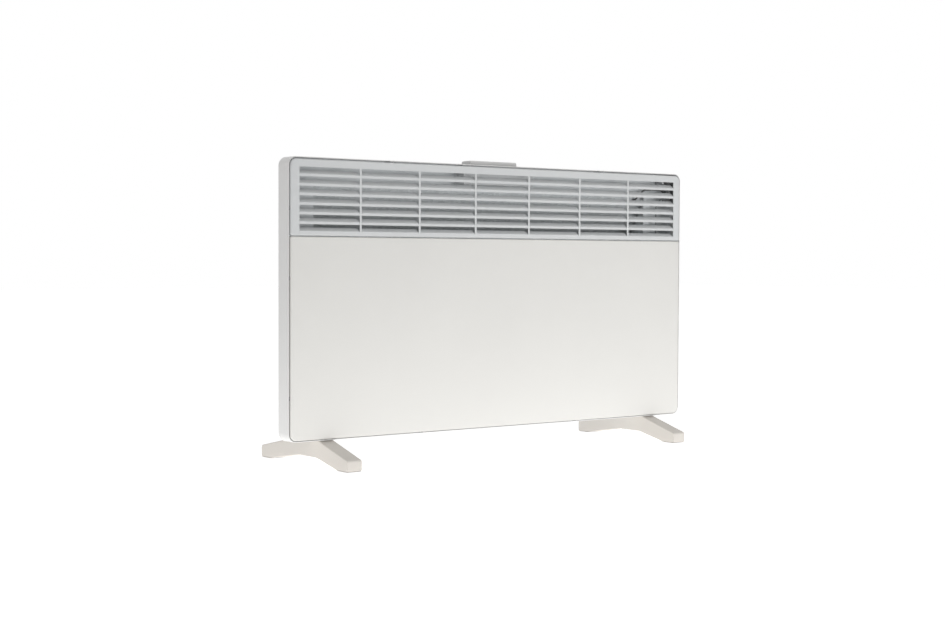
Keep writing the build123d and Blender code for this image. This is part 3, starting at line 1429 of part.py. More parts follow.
def ring_terminal(order, turn):
    """Ring on the earth stud with a tab turned about it; order 0 lies on the casing."""
    x, z = STUD_CENTRE
    radius, steel = STUD_RING
    back = FLANGE_FACE - order * steel
    length, width = STUD_TAB
    ring = rod(radius, (0, back, 0), (0, back - steel, 0))
    ring += block((STUD_RADIUS + PAST, radius + length), (back - steel, back), span(0, width))
    bore = STUD_RADIUS + SNUG_CLEARANCE
    ring -= rod(bore, (0, back + PAST, 0), (0, back - steel - PAST, 0))
    return Pos(x, 0, z) * Rot(0, turn, 0) * ring


def tab_middle():
    """Distance from the stud's middle to where a wire is crimped on a tab."""
    return STUD_RING[0] + STUD_TAB[0] / 2


def wire_depth():
    """y at which wires run to the terminal block."""
    return (BLOCK_FACE + FLANGE_FACE) / 2


def wire_earth():
    """Terminal block to the stud, with its ring terminal."""
    height = pole_heights()[0]
    start = STUD_CENTRE[0] + tab_middle()
    points = [
        (start, FLANGE_FACE - STUD_RING[1], height),
        (start, wire_depth(), height),
        (BLOCK_LEFT, wire_depth(), height),
    ]
    return ring_terminal(0, 0) + wire(points)


def wire_earth_grille():
    """Stud to the back of the grille's frame, with its ring terminal."""
    x, z = STUD_CENTRE
    height = z + tab_middle()
    points = [
        (x, FLANGE_FACE - 2 * STUD_RING[1], height),
        (x, wire_depth(), height + 2),
        (x - 14, PLATE_RETURN + 2, height + 2),
        (x - 14, PLATE_STEEL, height + 2),
    ]
    return ring_terminal(1, -90) + wire(points)


def wire_live():
    """Terminal block to the thermostat, through the grommet."""
    depth = wire_depth()
    height = pole_heights()[2]
    x = GROMMET_CENTRE[0] + 2
    z = GROMMET_CENTRE[1]
    root = thermostat_blade_roots()[0]
    tip = root[2] - BLADE[0]
    return wire([
        (BLOCK_LEFT, depth, height),
        (BLOCK_LEFT - 10, depth, height),
        (x, depth, height - 12),
        (x, depth, z),
        (x, depth + 20, z),
        (x, depth + 20, z + 12),
        (root[0], root[1], tip - 10),
        (root[0], root[1], tip),
    ])


def wire_thermostat_cutout():
    """Thermostat to the thermal cut-out."""
    root = thermostat_blade_roots()[1]
    end = root[2] - BLADE[0]
    x = PAN_WALL - 17
    z = BOTTOM + CUTOUT_RISE
    place = CUTOUT_OFFSET + CUTOUT_BLADE_SPREAD / 2
    tip = SHIELD_FACE - CUTOUT_HEIGHT - BLADE[0]
    run = tip - 10
    return wire([
        (root[0], root[1], end),
        (root[0], root[1], end - 9),
        (PAN_HALF + 3, root[1] - 6, end - 18),
        (x, root[1] - 8, end - 30),
        (x, root[1] - 10, z + 52),
        (x - 12, root[1] - 12, z + 12),
        (x - 32, run, z),
        (place, run, z),
        (place, tip, z),
    ])


def wire_cutout_switches():
    """Thermal cut-out to the front switch, and a link on to the rear one."""
    z = BOTTOM + CUTOUT_RISE
    place = CUTOUT_OFFSET - CUTOUT_BLADE_SPREAD / 2
    tip = SHIELD_FACE - CUTOUT_HEIGHT - BLADE[0]
    run = FLANGE_BACK + 5
    front, rear = [switch_blade_roots(y)[0] for y in switch_depths()]
    end = front[0] - SWITCH_BLADE[0]
    supply = wire([
        (place, tip, z),
        (place, run + 6, z),
        (place + 6, run, z + 18),
        (PAN_WALL - 29, run, z + 18),
        (PAN_WALL - 7, run, front[2] - 22),
        (PAN_WALL - 7, run, front[2]),
        (PAN_WALL + 7, front[1], front[2]),
        (end, front[1], front[2]),
    ])
    middle = front[0] - SWITCH_BLADE[0] / 2
    half = SWITCH_BLADE[1] / 2
    link = rod(WIRE_RADIUS, (middle, front[1] + half, front[2]), (middle, rear[1] - half, rear[2]))
    return [supply, link]


def wire_stage_one():
    """Front switch to the upper tube."""
    x, y, z = switch_blade_roots(switch_depths()[0])[1]
    high = sheath_centres()[1][1]
    turn = PAN_WALL - 13
    return wire([
        (x - SWITCH_BLADE[0], y, z),
        (turn, y, z),
        (turn, y, z - 24),
        (turn, ELEMENT_DEPTH - 1, high + 20),
        (turn, ELEMENT_DEPTH, high),
        (terminal_root() + BLADE[0], ELEMENT_DEPTH, high),
    ])


def wire_stage_two():
    """Rear switch to the lower tube."""
    x, y, z = switch_blade_roots(switch_depths()[1])[1]
    low = sheath_centres()[0][1]
    turn = PAN_WALL - 5
    return wire([
        (x - SWITCH_BLADE[0], y, z),
        (turn, y, z),
        (turn, y - 8, z - 24),
        (turn - 2, ELEMENT_DEPTH + 2, low + 20),
        (turn - 2, ELEMENT_DEPTH, low),
        (terminal_root() + BLADE[0], ELEMENT_DEPTH, low),
    ])


def wire_neutral():
    """Terminal block to the left terminals' link, behind the louvres and over the pan's floor."""
    depth = wire_depth()
    height = pole_heights()[1]
    x = NEUTRAL_X
    hole = TOP - NEUTRAL_HOLE_DROP
    back = BACK_WALL - PAN_BACK_CORNER - WIRE_RADIUS
    floor = PAN_FLOOR + WIRE_RADIUS + SNUG_CLEARANCE
    turn = PAN_WALL - 11
    link = terminal_root() + BLADE[0] + LINK_STEEL
    return wire([
        (BLOCK_LEFT, depth, height),
        (BLOCK_LEFT - 6, depth, height),
        (BLOCK_LEFT - 12, depth, height + 3),
        (PAN_WALL + 2, depth, height + 3),
        (x + 8, depth, height + 2),
        (x + 1, depth + 5, hole + 6),
        (x, HOUSING_MIDDLE - 6, hole - 4),
        (x, back - 4, hole - 15),
        (x, back, hole - 33),
        (x, back, floor),
        (-turn, back, floor),
        (-turn, back - 6, ELEMENT_HEIGHT - 40),
        (-turn, ELEMENT_DEPTH, ELEMENT_HEIGHT),
        (-link, ELEMENT_DEPTH, ELEMENT_HEIGHT),
    ])


def bulb_axis():
    """(x, y) of the thermostat's sensing bulb, upright beside the element."""
    return (PAN_WALL - BULB_INSET[0], BACK_WALL - BULB_INSET[1])


def thermostat_capillary():
    """Sensing bulb with its fine tube up to the thermostat."""
    x, y = bulb_axis()
    low = BOTTOM + BULB_RISE
    high = low + BULB_LENGTH
    bulb = rod(BULB_RADIUS, (x, y, low), (x, y, high))
    knob_y, knob_z = KNOB_CENTRE
    under = knob_z - THERMOSTAT_SIZE[2] / 2
    start_x = HOUSING_INNER - THERMOSTAT_SIZE[0] + 6
    start_y = knob_y + THERMOSTAT_SIZE[1] / 2 - 5
    tube = [
        (start_x, start_y, under),
        (start_x, start_y, under - 12),
        (x + 8, y, under - 26),
        (x - 1, y + 4, under - 44),
        (x - 1, y + 4, high + 30),
        (x, y, high + 12),
        (x, y, high - 1),
    ]
    return bulb + wire(tube, CAPILLARY_RADIUS, WIRE_BEND / 2)


def sensor_clip():
    """Ring with a foot on the pan's side wall that holds the bulb."""
    x, y = bulb_axis()
    z = BOTTOM + BULB_RISE + BULB_LENGTH / 2
    band, height = SENSOR_BAND
    steel, length = SENSOR_FOOT
    low = z - height / 2
    high = z + height / 2
    clip = rod(BULB_RADIUS + band, (x, y, low), (x, y, high))
    clip += block((x, PAN_WALL), span(y, SENSOR_WEB), (low, high))
    clip += block((PAN_WALL - steel, PAN_WALL), span(y, length), (low, high))
    return clip - rod(BULB_RADIUS + SNUG_CLEARANCE, (x, y, low - PAST), (x, y, high + PAST))


# Feet


def foot_outline():
    """(y, z) outline of a foot with the radius of each bend, from the front end round."""
    back = FOOT_LENGTH - FOOT_REACH
    return [
        ((-FOOT_REACH, 0), FOOT_END_ROUNDING),
        ((-FOOT_REACH + FOOT_FRONT_PAD, 0), FOOT_BEND),
        ((FOOT_ARCH_FRONT, FOOT_ARCH_HEIGHT), FOOT_BEND),
        ((FOOT_ARCH_BACK, FOOT_ARCH_HEIGHT), FOOT_BEND),
        ((back - FOOT_BACK_PAD, 0), FOOT_BEND),
        ((back, 0), FOOT_END_ROUNDING),
        ((back, FOOT_BACK_HEIGHT), FOOT_END_ROUNDING),
        ((FOOT_SHOULDER_BACK, BOTTOM), FOOT_END_ROUNDING),
        ((FOOT_SHOULDER_FRONT, BOTTOM), FOOT_END_ROUNDING),
        ((-FOOT_REACH, FOOT_FRONT_HEIGHT), FOOT_END_ROUNDING),
    ]


def foot(middle):
    """Moulded foot: an arched blade with a raised pad under the pan and two screw wells."""
    corners = foot_outline()
    outline = make_face(Polyline(*[point for point, _ in corners], close=True))
    for point, radius in corners:
        nearest = outline.vertices().sort_by_distance((*point, 0))[0]
        outline = fillet(nearest, radius)
    x = span(middle, FOOT_THICKNESS)
    blade_body = extrude(Plane.YZ.offset(x[0]) * outline, FOOT_THICKNESS, dir=(1, 0, 0))
    ends = [blade_body.faces().sort_by(Axis.X)[0], blade_body.faces().sort_by(Axis.X)[-1]]
    rims = [edge for face in ends for edge in face.edges()]
    blade_body = fillet(rims, FOOT_EDGE_ROUNDING)
    pad_x = (x[0] + FOOT_PAD_INSET, x[1] - FOOT_PAD_INSET)
    pad_y = (CASING_DEPTH + HOLE_CLEARANCE, FOOT_SHOULDER_BACK - FOOT_PAD_INSET)
    blade_body += block(pad_x, pad_y, (BOTTOM - PAST, PAN_BOTTOM))
    for seat in foot_screw_seats(middle):
        head = FOOT_SCREW[2] + FOOT_WELL_ROOM
        blade_body -= rod(head, (seat[0], seat[1], FOOT_WELL_SKIN), seat)
        blade_body -= shank_hole(FOOT_SCREW, seat, (0, 0, 1))
    return blade_body


def foot_screws():
    screws = []
    for x in foot_middles():
        screws += [screw(FOOT_SCREW, seat, (0, 0, 1)) for seat in foot_screw_seats(x)]
    return screws


def foot_nut_plates():
    """Tapped strips inside the pan that the foot screws go into."""
    width, height = NUT_PLATE
    front = CASING_DEPTH - PAN_TONGUE + NUT_PLATE_ENDS[0]
    y = (front, CASING_DEPTH + FOOT_SCREW_OFFSETS[1] + NUT_PLATE_ENDS[1])
    plates = []
    for x in foot_middles():
        side = 1 if x > 0 else -1
        outer = x + side * NUT_PLATE_EDGE
        plate_x = sorted((outer, outer - side * width))
        plate = block(plate_x, y, (PAN_FLOOR, PAN_FLOOR + height))
        for seat in foot_screw_seats(x):
            plate -= shank_hole(FOOT_SCREW, seat, (0, 0, 1), SNUG_CLEARANCE)
        plates.append(plate)
    return plates


def pieces():
    """Every sub-part by name."""
    left_foot, right_foot = foot_middles()
    front_switch, rear_switch = switch_depths()
    return {
        "casing": casing(),
        "grille_panel": grille_panel(),
        "front_panel": front_panel(),
        "cross_rail": cross_rail(),
        "grille_clips": grille_clips(),
        "panel_clips": panel_clips(),
        "rear_pan": rear_pan(),
        "pan_screws": pan_screws(),
        "back_wall_screws": back_wall_screws(),
        "carry_handle": carry_handle(),
        "handle_cup": handle_cup(),
        "handle_screws": handle_screws(),
        "air_deflector": air_deflector(),
        "heat_shield": heat_shield(),
        "element_fins": element_fins(),
        "element_sheaths": element_sheaths(),
        "element_insulators": element_insulators(),
        "element_terminals": element_terminals(),
        "neutral_link": neutral_link(),
        "element_bracket_left": element_bracket(-1),
        "element_bracket_right": element_bracket(1),
        "element_bushes": element_bushes(),
        "thermal_cutout": thermal_cutout(),
        "cutout_clamp": cutout_clamp(),
        "cutout_screws": cutout_screws(),
        "control_housing": control_housing(),
        "control_housing_screws": control_housing_screws(),
        "dial_plate": dial_plate(),
        "thermostat_body": thermostat_body(),
        "thermostat_screws": thermostat_screws(),
        "thermostat_spindle": thermostat_spindle(),
        "thermostat_knob": thermostat_knob(),
        "indicator_lens": indicator_lens(),
        "indicator_lamp": indicator_lamp(),
        "switch_frame_front": switch_frame(front_switch),
        "switch_frame_rear": switch_frame(rear_switch),
        "rocker_front": rocker(front_switch),
        "rocker_rear": rocker(rear_switch),
        "cord_gland": cord_gland(),
        "gland_nut": gland_nut(),
        "wire_grommet": wire_grommet(),
        "terminal_block": terminal_block(),
        "terminal_screws": terminal_screws(),
        "earth_stud": earth_stud(),
        "earth_nut": earth_nut(),
        "foot_left": foot(left_foot),
        "foot_right": foot(right_foot),
        "foot_screws": foot_screws(),
        "foot_nut_plates": foot_nut_plates(),
        "wire_live": wire_live(),
        "wire_thermostat_cutout": wire_thermostat_cutout(),
        "wire_cutout_switches": wire_cutout_switches(),
        "wire_stage_one": wire_stage_one(),
        "wire_stage_two": wire_stage_two(),
        "wire_neutral": wire_neutral(),
        "wire_earth": wire_earth(),
        "wire_earth_grille": wire_earth_grille(),
        "thermostat_capillary": thermostat_capillary(),
        "sensor_clip": sensor_clip(),
    }


def write(name, shape):
    """Write one piece, or a group of like pieces, where it stands on the feet's middle."""
    solids = shape if isinstance(shape, list) else [shape]
    placed = [Pos(0, ORIGIN_SHIFT, 0) * solid for solid in solids]
    whole = placed[0] if len(placed) == 1 else Compound(children=placed)
    export_step(whole, "parts/" + name + ".step")


os.makedirs("parts", exist_ok=True)
for piece_name, piece_shape in pieces().items():
    write(piece_name, piece_shape)
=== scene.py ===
import json
import math

import bmesh
import bpy
from mathutils import Matrix, Quaternion, Vector


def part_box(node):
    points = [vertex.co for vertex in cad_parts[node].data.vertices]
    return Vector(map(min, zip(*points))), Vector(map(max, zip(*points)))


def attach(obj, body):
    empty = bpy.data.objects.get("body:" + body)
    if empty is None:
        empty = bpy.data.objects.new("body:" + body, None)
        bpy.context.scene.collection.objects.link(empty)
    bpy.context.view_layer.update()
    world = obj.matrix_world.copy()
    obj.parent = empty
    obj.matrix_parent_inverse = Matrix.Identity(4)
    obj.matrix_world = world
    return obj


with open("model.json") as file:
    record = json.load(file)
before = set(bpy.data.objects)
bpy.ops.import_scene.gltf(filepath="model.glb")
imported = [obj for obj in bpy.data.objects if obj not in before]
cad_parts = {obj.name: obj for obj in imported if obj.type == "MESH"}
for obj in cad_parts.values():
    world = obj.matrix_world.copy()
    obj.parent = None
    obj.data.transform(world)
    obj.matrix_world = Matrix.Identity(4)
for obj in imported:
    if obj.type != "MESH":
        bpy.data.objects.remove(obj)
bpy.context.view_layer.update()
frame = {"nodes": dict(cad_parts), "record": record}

# ---------------------------------------------------------------- node helpers

OPAQUE_WHITE = (1.0, 1.0, 1.0, 1.0)
FULL_RANGE = (0.0, 1.0)
NOISE_RANGE = (0.3, 0.7)


class Tree:
    """A material's node tree with short calls for the nodes that are used here."""

    def __init__(self, name):
        self.material = bpy.data.materials.new(name)
        self.material.use_nodes = True
        self.tree = self.material.node_tree
        self.tree.nodes.clear()
        self.out = self.add("ShaderNodeOutputMaterial")
        self.shader = self.add("ShaderNodeBsdfPrincipled")
        self.link(self.shader.outputs[0], self.out.inputs["Surface"])
        self.coords = self.add("ShaderNodeTexCoord").outputs["Object"]

    def add(self, kind):
        return self.tree.nodes.new(kind)

    def link(self, a, b):
        self.tree.links.new(a, b)

    def stretch(self, scale):
        """Object coordinates scaled along each axis."""
        mapping = self.add("ShaderNodeMapping")
        mapping.inputs["Scale"].default_value = scale
        self.link(self.coords, mapping.inputs["Vector"])
        return mapping.outputs["Vector"]

    def noise(self, scale, detail=2.0, rough=0.5, vector=None):
        node = self.add("ShaderNodeTexNoise")
        node.inputs["Scale"].default_value = scale
        node.inputs["Detail"].default_value = detail
        node.inputs["Roughness"].default_value = rough
        self.link(vector or self.coords, node.inputs["Vector"])
        return node.outputs["Fac"]

    def cells(self, scale):
        """Two values that are random in each cell of a crazed pattern."""
        node = self.add("ShaderNodeTexVoronoi")
        node.inputs["Scale"].default_value = scale
        self.link(self.coords, node.inputs["Vector"])
        split = self.add("ShaderNodeSeparateColor")
        self.link(node.outputs["Color"], split.inputs["Color"])
        return split.outputs["Red"], split.outputs["Green"]

    def spread(self, value, low=0.0, high=1.0, source=NOISE_RANGE):
        """Map a value from its source range, for a noise by default, to another range."""
        node = self.add("ShaderNodeMapRange")
        node.inputs["From Min"].default_value = source[0]
        node.inputs["From Max"].default_value = source[1]
        node.inputs["To Min"].default_value = low
        node.inputs["To Max"].default_value = high
        self.link(value, node.inputs["Value"])
        return node.outputs["Result"]

    def mix(self, value, first, second):
        """Mix two colours, or colour sockets, by a value socket."""
        node = self.add("ShaderNodeMix")
        node.data_type = "RGBA"
        self.link(value, node.inputs["Factor"])
        for socket, colour in ((node.inputs["A"], first), (node.inputs["B"], second)):
            if isinstance(colour, tuple):
                socket.default_value = (*colour, 1.0)
            else:
                self.link(colour, socket)
        return node.outputs["Result"]

    def shades(self, value, colour, dark, light):
        """A colour that a value takes from a darker to a lighter shade of itself."""
        return self.mix(value, shade(colour, dark), shade(colour, light))

    def bump(self, height, distance, strength, onto=None):
        node = self.add("ShaderNodeBump")
        node.inputs["Strength"].default_value = strength
        node.inputs["Distance"].default_value = distance
        self.link(height, node.inputs["Height"])
        if onto is not None:
            self.link(onto, node.inputs["Normal"])
        return node.outputs["Normal"]

    def calc(self, operation, first, second=0.0):
        """A Math node on two values, each a number or a socket."""
        node = self.add("ShaderNodeMath")
        node.operation = operation
        for socket, value in zip(node.inputs, (first, second)):
            if isinstance(value, float):
                socket.default_value = value
            else:
                self.link(value, socket)
        return node.outputs["Value"]

    def axes(self):
        """Object coordinates as three separate values."""
        node = self.add("ShaderNodeSeparateXYZ")
        self.link(self.coords, node.inputs[0])
        return node.outputs[0], node.outputs[1], node.outputs[2]

    def set(self, **values):
        """Set the shader's own sockets, or link sockets to them."""
        for key, value in values.items():
            socket = self.shader.inputs[key.replace("_", " ")]
            if isinstance(value, bpy.types.NodeSocket):
                self.link(value, socket)
            elif isinstance(value, tuple) and len(value) == 3:
                socket.default_value = (*value, 1.0)
            else:
                socket.default_value = value


def shade(colour, factor):
    return tuple(c * factor for c in colour)


# ------------------------------------------------------------------- materials


def within_walls(t, half_width, half_height, middle, corner, front, back):
    """1 inside a box with rounded corners about X = 0, between a front and a back, else 0."""
    x, y, z = t.axes()
    across = t.calc("SUBTRACT", t.calc("ABSOLUTE", x), half_width - corner)
    rise = t.calc("ABSOLUTE", t.calc("SUBTRACT", z, middle))
    up = t.calc("SUBTRACT", rise, half_height - corner)
    squares = []
    for excess in (across, up):
        beyond = t.calc("MAXIMUM", excess, 0.0)
        squares.append(t.calc("MULTIPLY", beyond, beyond))
    reach = t.calc("SQRT", t.calc("ADD", *squares))
    inside = t.calc("LESS_THAN", reach, corner)
    inside = t.calc("MULTIPLY", inside, t.calc("GREATER_THAN", y, front))
    return t.calc("MULTIPLY", inside, t.calc("LESS_THAN", y, back))


def powder_coat(name, colour, primer=None, walls=()):
    """Baked powder paint: soft orange peel, faint clouds, fine specks and uneven gloss.

    A primer colour goes on the faces inside the walls, which the paint doesn't reach.
    """
    peel = 0.000018
    t = Tree(name)
    clouds = t.spread(t.noise(scale=7.0, detail=3.0))
    base = t.shades(clouds, colour, dark=0.985, light=1.01)
    grain = t.spread(t.noise(scale=2600.0))
    specks = t.spread(t.noise(scale=900.0), high=0.35)
    base = t.mix(specks, base, shade(colour, 0.96))
    if primer is not None:
        worn = t.shades(clouds, primer, dark=0.9, light=1.08)
        base = t.mix(within_walls(t, *walls), base, worn)
    waves = t.bump(t.noise(scale=420.0, rough=0.45), distance=peel, strength=0.55)
    gloss = t.spread(t.noise(scale=60.0, detail=3.0), low=0.38, high=0.47)
    t.set(
        Base_Color=base,
        Roughness=gloss,
        Normal=t.bump(grain, distance=peel * 0.3, strength=0.25, onto=waves),
        Specular_IOR_Level=0.5,
        IOR=1.5,
    )
    return t.material


def moulded(name, colour, rough=0.5, grain=0.00003, scale=1500.0):
    """Injection-moulded plastic with a spark-eroded grain and faint flow shading."""
    t = Tree(name)
    along_flow = t.stretch((1.0, 0.35, 1.0))
    flow = t.spread(t.noise(scale=16.0, detail=3.0, rough=0.6, vector=along_flow))
    base = t.shades(flow, colour, dark=0.975, light=1.015)
    pits = t.noise(scale=scale, detail=3.0, rough=0.6)
    base = t.mix(t.spread(pits, high=0.3), base, shade(colour, 0.94))
    t.set(
        Base_Color=base,
        Roughness=t.spread(t.noise(scale=90.0), rough - 0.05, rough + 0.06),
        Normal=t.bump(pits, distance=grain, strength=0.5),
        Specular_IOR_Level=0.45,
        IOR=1.47,
    )
    return t.material


def galvanised(name, colour):
    """Zinc-coated sheet, weathered dull, with faint spangles."""
    t = Tree(name)
    spangle, dullness = t.cells(scale=160.0)
    base = t.shades(spangle, colour, dark=0.9, light=1.08)
    stains = t.spread(t.noise(scale=14.0, detail=3.0), high=0.5)
    base = t.mix(stains, base, shade(colour, 0.92))
    t.set(
        Base_Color=base,
        Roughness=t.spread(dullness, low=0.48, high=0.66, source=FULL_RANGE),
        Metallic=0.08,
        Normal=t.bump(spangle, distance=0.00001, strength=0.3),
    )
    return t.material


def metal(name, colour, rough=0.32, marks=(30.0, 900.0, 900.0)):
    """Drawn or rolled metal, whose marks run along X by default."""
    t = Tree(name)
    lines = t.noise(scale=1.0, detail=3.0, rough=0.6, vector=t.stretch(marks))
    base = t.shades(t.spread(lines), colour, dark=0.88, light=1.06)
    tarnish = t.spread(t.noise(scale=40.0), high=0.35)
    base = t.mix(tarnish, base, shade(colour, 0.8))
    t.set(
        Base_Color=base,
        Roughness=t.spread(lines, rough - 0.06, rough + 0.08),
        Metallic=1.0,
        Normal=t.bump(lines, distance=0.00001, strength=0.4),
    )
    return t.material


def glazed(name, colour):
    """Glazed ceramic: glossy, with faint specks."""
    t = Tree(name)
    specks = t.spread(t.noise(scale=1800.0, detail=1.0), source=(0.66, 0.74))
    t.set(
        Base_Color=t.mix(specks, colour, shade(colour, 0.7)),
        Roughness=t.spread(t.noise(scale=200.0), low=0.12, high=0.22),
        Coat_Weight=0.5,
        Coat_Roughness=0.08,
    )
    return t.material


def soft_rubber(name, colour, rough=0.62):
    """Rubber or insulation: dull, with a faint bloom and fine grain."""
    t = Tree(name)
    bloom = t.spread(t.noise(scale=70.0, detail=4.0, rough=0.6))
    bloomed = tuple(c * 0.85 + 0.02 for c in colour)
    t.set(
        Base_Color=t.mix(bloom, colour, bloomed),
        Roughness=t.spread(bloom, rough - 0.08, rough + 0.08),
        Normal=t.bump(t.noise(scale=2200.0), distance=0.00002, strength=0.4),
    )
    return t.material


def clear_plastic(name, colour):
    """Coloured transparent moulding with a rippled inside."""
    t = Tree(name)
    ripples = t.noise(scale=700.0, detail=1.0)
    t.set(
        Base_Color=t.mix(t.spread(ripples), colour, shade(colour, 0.75)),
        Roughness=t.spread(ripples, low=0.08, high=0.16),
        Transmission_Weight=0.45,
        IOR=1.49,
        Normal=t.bump(ripples, distance=0.0001, strength=0.3),
    )
    return t.material


# The casing's paint ends a little way in from the rim. The primer's box has its sides in
# the middle of the walls: half width, half height, middle height, corner, front and back.
HALF_STEEL = 0.0006
CASING_CORNER = 0.0125
PAINT_REACH = 0.02
PRIMER = (0.70, 0.725, 0.74)
casing_low, casing_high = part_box("casing")
PRIMED_WALLS = (
    casing_high[0] - HALF_STEEL,
    (casing_high[2] - casing_low[2]) / 2 - HALF_STEEL,
    (casing_high[2] + casing_low[2]) / 2,
    CASING_CORNER - HALF_STEEL,
    casing_low[1] + PAINT_REACH,
    casing_high[1] - HALF_STEEL,
)

# How fine a metal's marks are along each axis: even, or as lines along X on the fins
EVEN_MARKS = (700.0, 700.0, 700.0)
BRASS_MARKS = (600.0, 600.0, 600.0)
FIN_MARKS = (12.0, 1300.0, 1300.0)

# Material slot: kind, colour and what differs from the kind's defaults
KINDS = {
    "casing_paint": (powder_coat, (0.80, 0.795, 0.785), {"primer": PRIMER, "walls": PRIMED_WALLS}),
    "panel_paint": (powder_coat, (0.79, 0.78, 0.75), {}),
    "grille_paint": (powder_coat, (0.70, 0.715, 0.72), {}),
    "foot_plastic": (moulded, (0.68, 0.645, 0.60), {"rough": 0.52}),
    "handle_plastic": (moulded, (0.76, 0.755, 0.745), {"rough": 0.48}),
    "housing_plastic": (moulded, (0.76, 0.76, 0.75), {"rough": 0.45}),
    "dial_film": (moulded, (0.66, 0.66, 0.65), {"grain": 0.00001, "scale": 2400.0}),
    "cup_plastic": (moulded, (0.60, 0.612, 0.62), {}),
    "dark_plastic": (moulded, (0.022, 0.022, 0.024), {"rough": 0.36}),
    "block_plastic": (moulded, (0.30, 0.30, 0.305), {"rough": 0.4}),
    "knob_plastic": (moulded, (0.60, 0.60, 0.595), {"rough": 0.4}),
    "lens_red": (clear_plastic, (0.55, 0.02, 0.015), {}),
    "lamp_glass": (clear_plastic, (0.8, 0.45, 0.25), {}),
    "galvanised": (galvanised, (0.79, 0.82, 0.835), {}),
    "spring_steel": (metal, (0.26, 0.26, 0.265), {"rough": 0.6}),
    "screw_steel": (metal, (0.62, 0.62, 0.63), {"rough": 0.28, "marks": EVEN_MARKS}),
    "sheath_steel": (metal, (0.30, 0.28, 0.26), {"rough": 0.42}),
    "fin_aluminium": (metal, (0.74, 0.74, 0.75), {"rough": 0.34, "marks": FIN_MARKS}),
    "ceramic": (glazed, (0.78, 0.75, 0.68), {}),
    "silicone": (soft_rubber, (0.42, 0.05, 0.03), {}),
    "black_rubber": (soft_rubber, (0.02, 0.02, 0.02), {}),
    "brass": (metal, (0.72, 0.52, 0.22), {"rough": 0.3, "marks": BRASS_MARKS}),
    "copper_tube": (metal, (0.72, 0.36, 0.22), {"rough": 0.3}),
    "wire_grey": (soft_rubber, (0.36, 0.375, 0.385), {"rough": 0.5}),
    "wire_black": (soft_rubber, (0.09, 0.09, 0.092), {"rough": 0.5}),
}
PAINTS = {slot: make(slot, colour, **extra) for slot, (make, colour, extra) in KINDS.items()}

for row in frame["record"]["subparts"]:
    node = frame["nodes"][row["node"]]
    node.data.materials.clear()
    node.data.materials.append(PAINTS[row["material_slot"]])


# --------------------------------------------------------------- added details

FILM = 0.00006


def plane_at(origin, right, up):
    """Matrix of a plane with its x along right and its y along up."""
    right, up = Vector(right).normalized(), Vector(up).normalized()
    turn = Matrix((right, up, right.cross(up))).transposed().to_4x4()
    return Matrix.Translation(Vector(origin)) @ turn


def printed(name, outlines, place, body, slot, thickness=FILM):
    """Flat printed shapes, given as outlines in a plane and raised by a film's thickness."""
    bm = bmesh.new()
    for outline in outlines:
        low = [bm.verts.new(place @ Vector((x, y, 0.0))) for x, y in outline]
        high = [bm.verts.new(place @ Vector((x, y, thickness))) for x, y in outline]
        bm.faces.new(list(reversed(low)))
        bm.faces.new(high)
        for i, vert in enumerate(low):
            j = (i + 1) % len(low)
            bm.faces.new((vert, low[j], high[j], high[i]))
    bmesh.ops.recalc_face_normals(bm, faces=bm.faces)
    bm.normal_update()
    data = bpy.data.meshes.new(name)
    bm.to_mesh(data)
    bm.free()
    made = bpy.data.objects.new(name, data)
    bpy.context.scene.collection.objects.link(made)
    data.materials.append(PAINTS[slot])
    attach(made, body)


def bar(centre, length, width, angle):
    """Outline of a straight mark, its length turned by an angle from the y axis."""
    along = Vector((math.sin(angle), math.cos(angle))) * length / 2
    aside = Vector((math.cos(angle), -math.sin(angle))) * width / 2
    middle = Vector(centre)
    start, end = middle - along, middle + along
    return [start + aside, end + aside, end - aside, start - aside]


def ring(radius, width, parts=20):
    """Outlines of a ring about the plane's origin, as short straight pieces."""
    turns = [math.tau * i / parts for i in range(parts + 1)]
    outlines = []
    for start, end in zip(turns, turns[1:]):
        corners = ((start, radius), (end, radius), (end, radius - width), (start, radius - width))
        outlines.append([
            (reach * math.cos(turn), reach * math.sin(turn)) for turn, reach in corners
        ])
    return outlines


# The dial's figures, each one line of straight strokes on a grid 2 wide and 4 high
FIGURE_GRID = (2, 4)
FIGURES = {
    1: ((0.4, 3.2), (1.1, 4.0), (1.1, 0.0)),
    2: ((0.0, 3.4), (0.6, 4.0), (1.6, 4.0), (2.0, 3.3), (0.0, 0.0), (2.0, 0.0)),
    3: ((0.0, 4.0), (2.0, 4.0), (1.0, 2.4), (2.0, 1.4), (1.4, 0.0), (0.0, 0.3)),
    4: ((1.5, 0.0), (1.5, 4.0), (0.0, 1.2), (2.0, 1.2)),
    5: ((2.0, 4.0), (0.2, 4.0), (0.0, 2.3), (1.5, 2.5), (2.0, 1.3), (1.3, 0.0), (0.0, 0.3)),
    6: (
        (1.6, 4.0), (0.2, 2.0), (0.0, 1.0), (0.6, 0.0),
        (1.5, 0.0), (2.0, 1.1), (1.4, 2.2), (0.2, 2.0),
    ),
    7: ((0.0, 4.0), (2.0, 4.0), (0.7, 0.0)),
}
FIGURE_HEIGHT = 0.0024
FIGURE_STROKE = 0.00032


def figure(number, centre):
    """Outlines of one of the dial's figures, upright about a centre."""
    unit = FIGURE_HEIGHT / FIGURE_GRID[1]
    middle = Vector(FIGURE_GRID) / 2
    points = [Vector(centre) + (Vector(point) - middle) * unit for point in FIGURES[number]]
    outlines = []
    for a, b in zip(points, points[1:]):
        run = b - a
        angle = math.atan2(run.x, run.y)
        outlines.append(bar((a + b) / 2, run.length + FIGURE_STROKE, FIGURE_STROKE, angle))
    return outlines


joints = frame["record"]["behaviour"]["joints"]
pivots = {joint["child"]: Vector(joint["pos_m"]) for joint in joints}

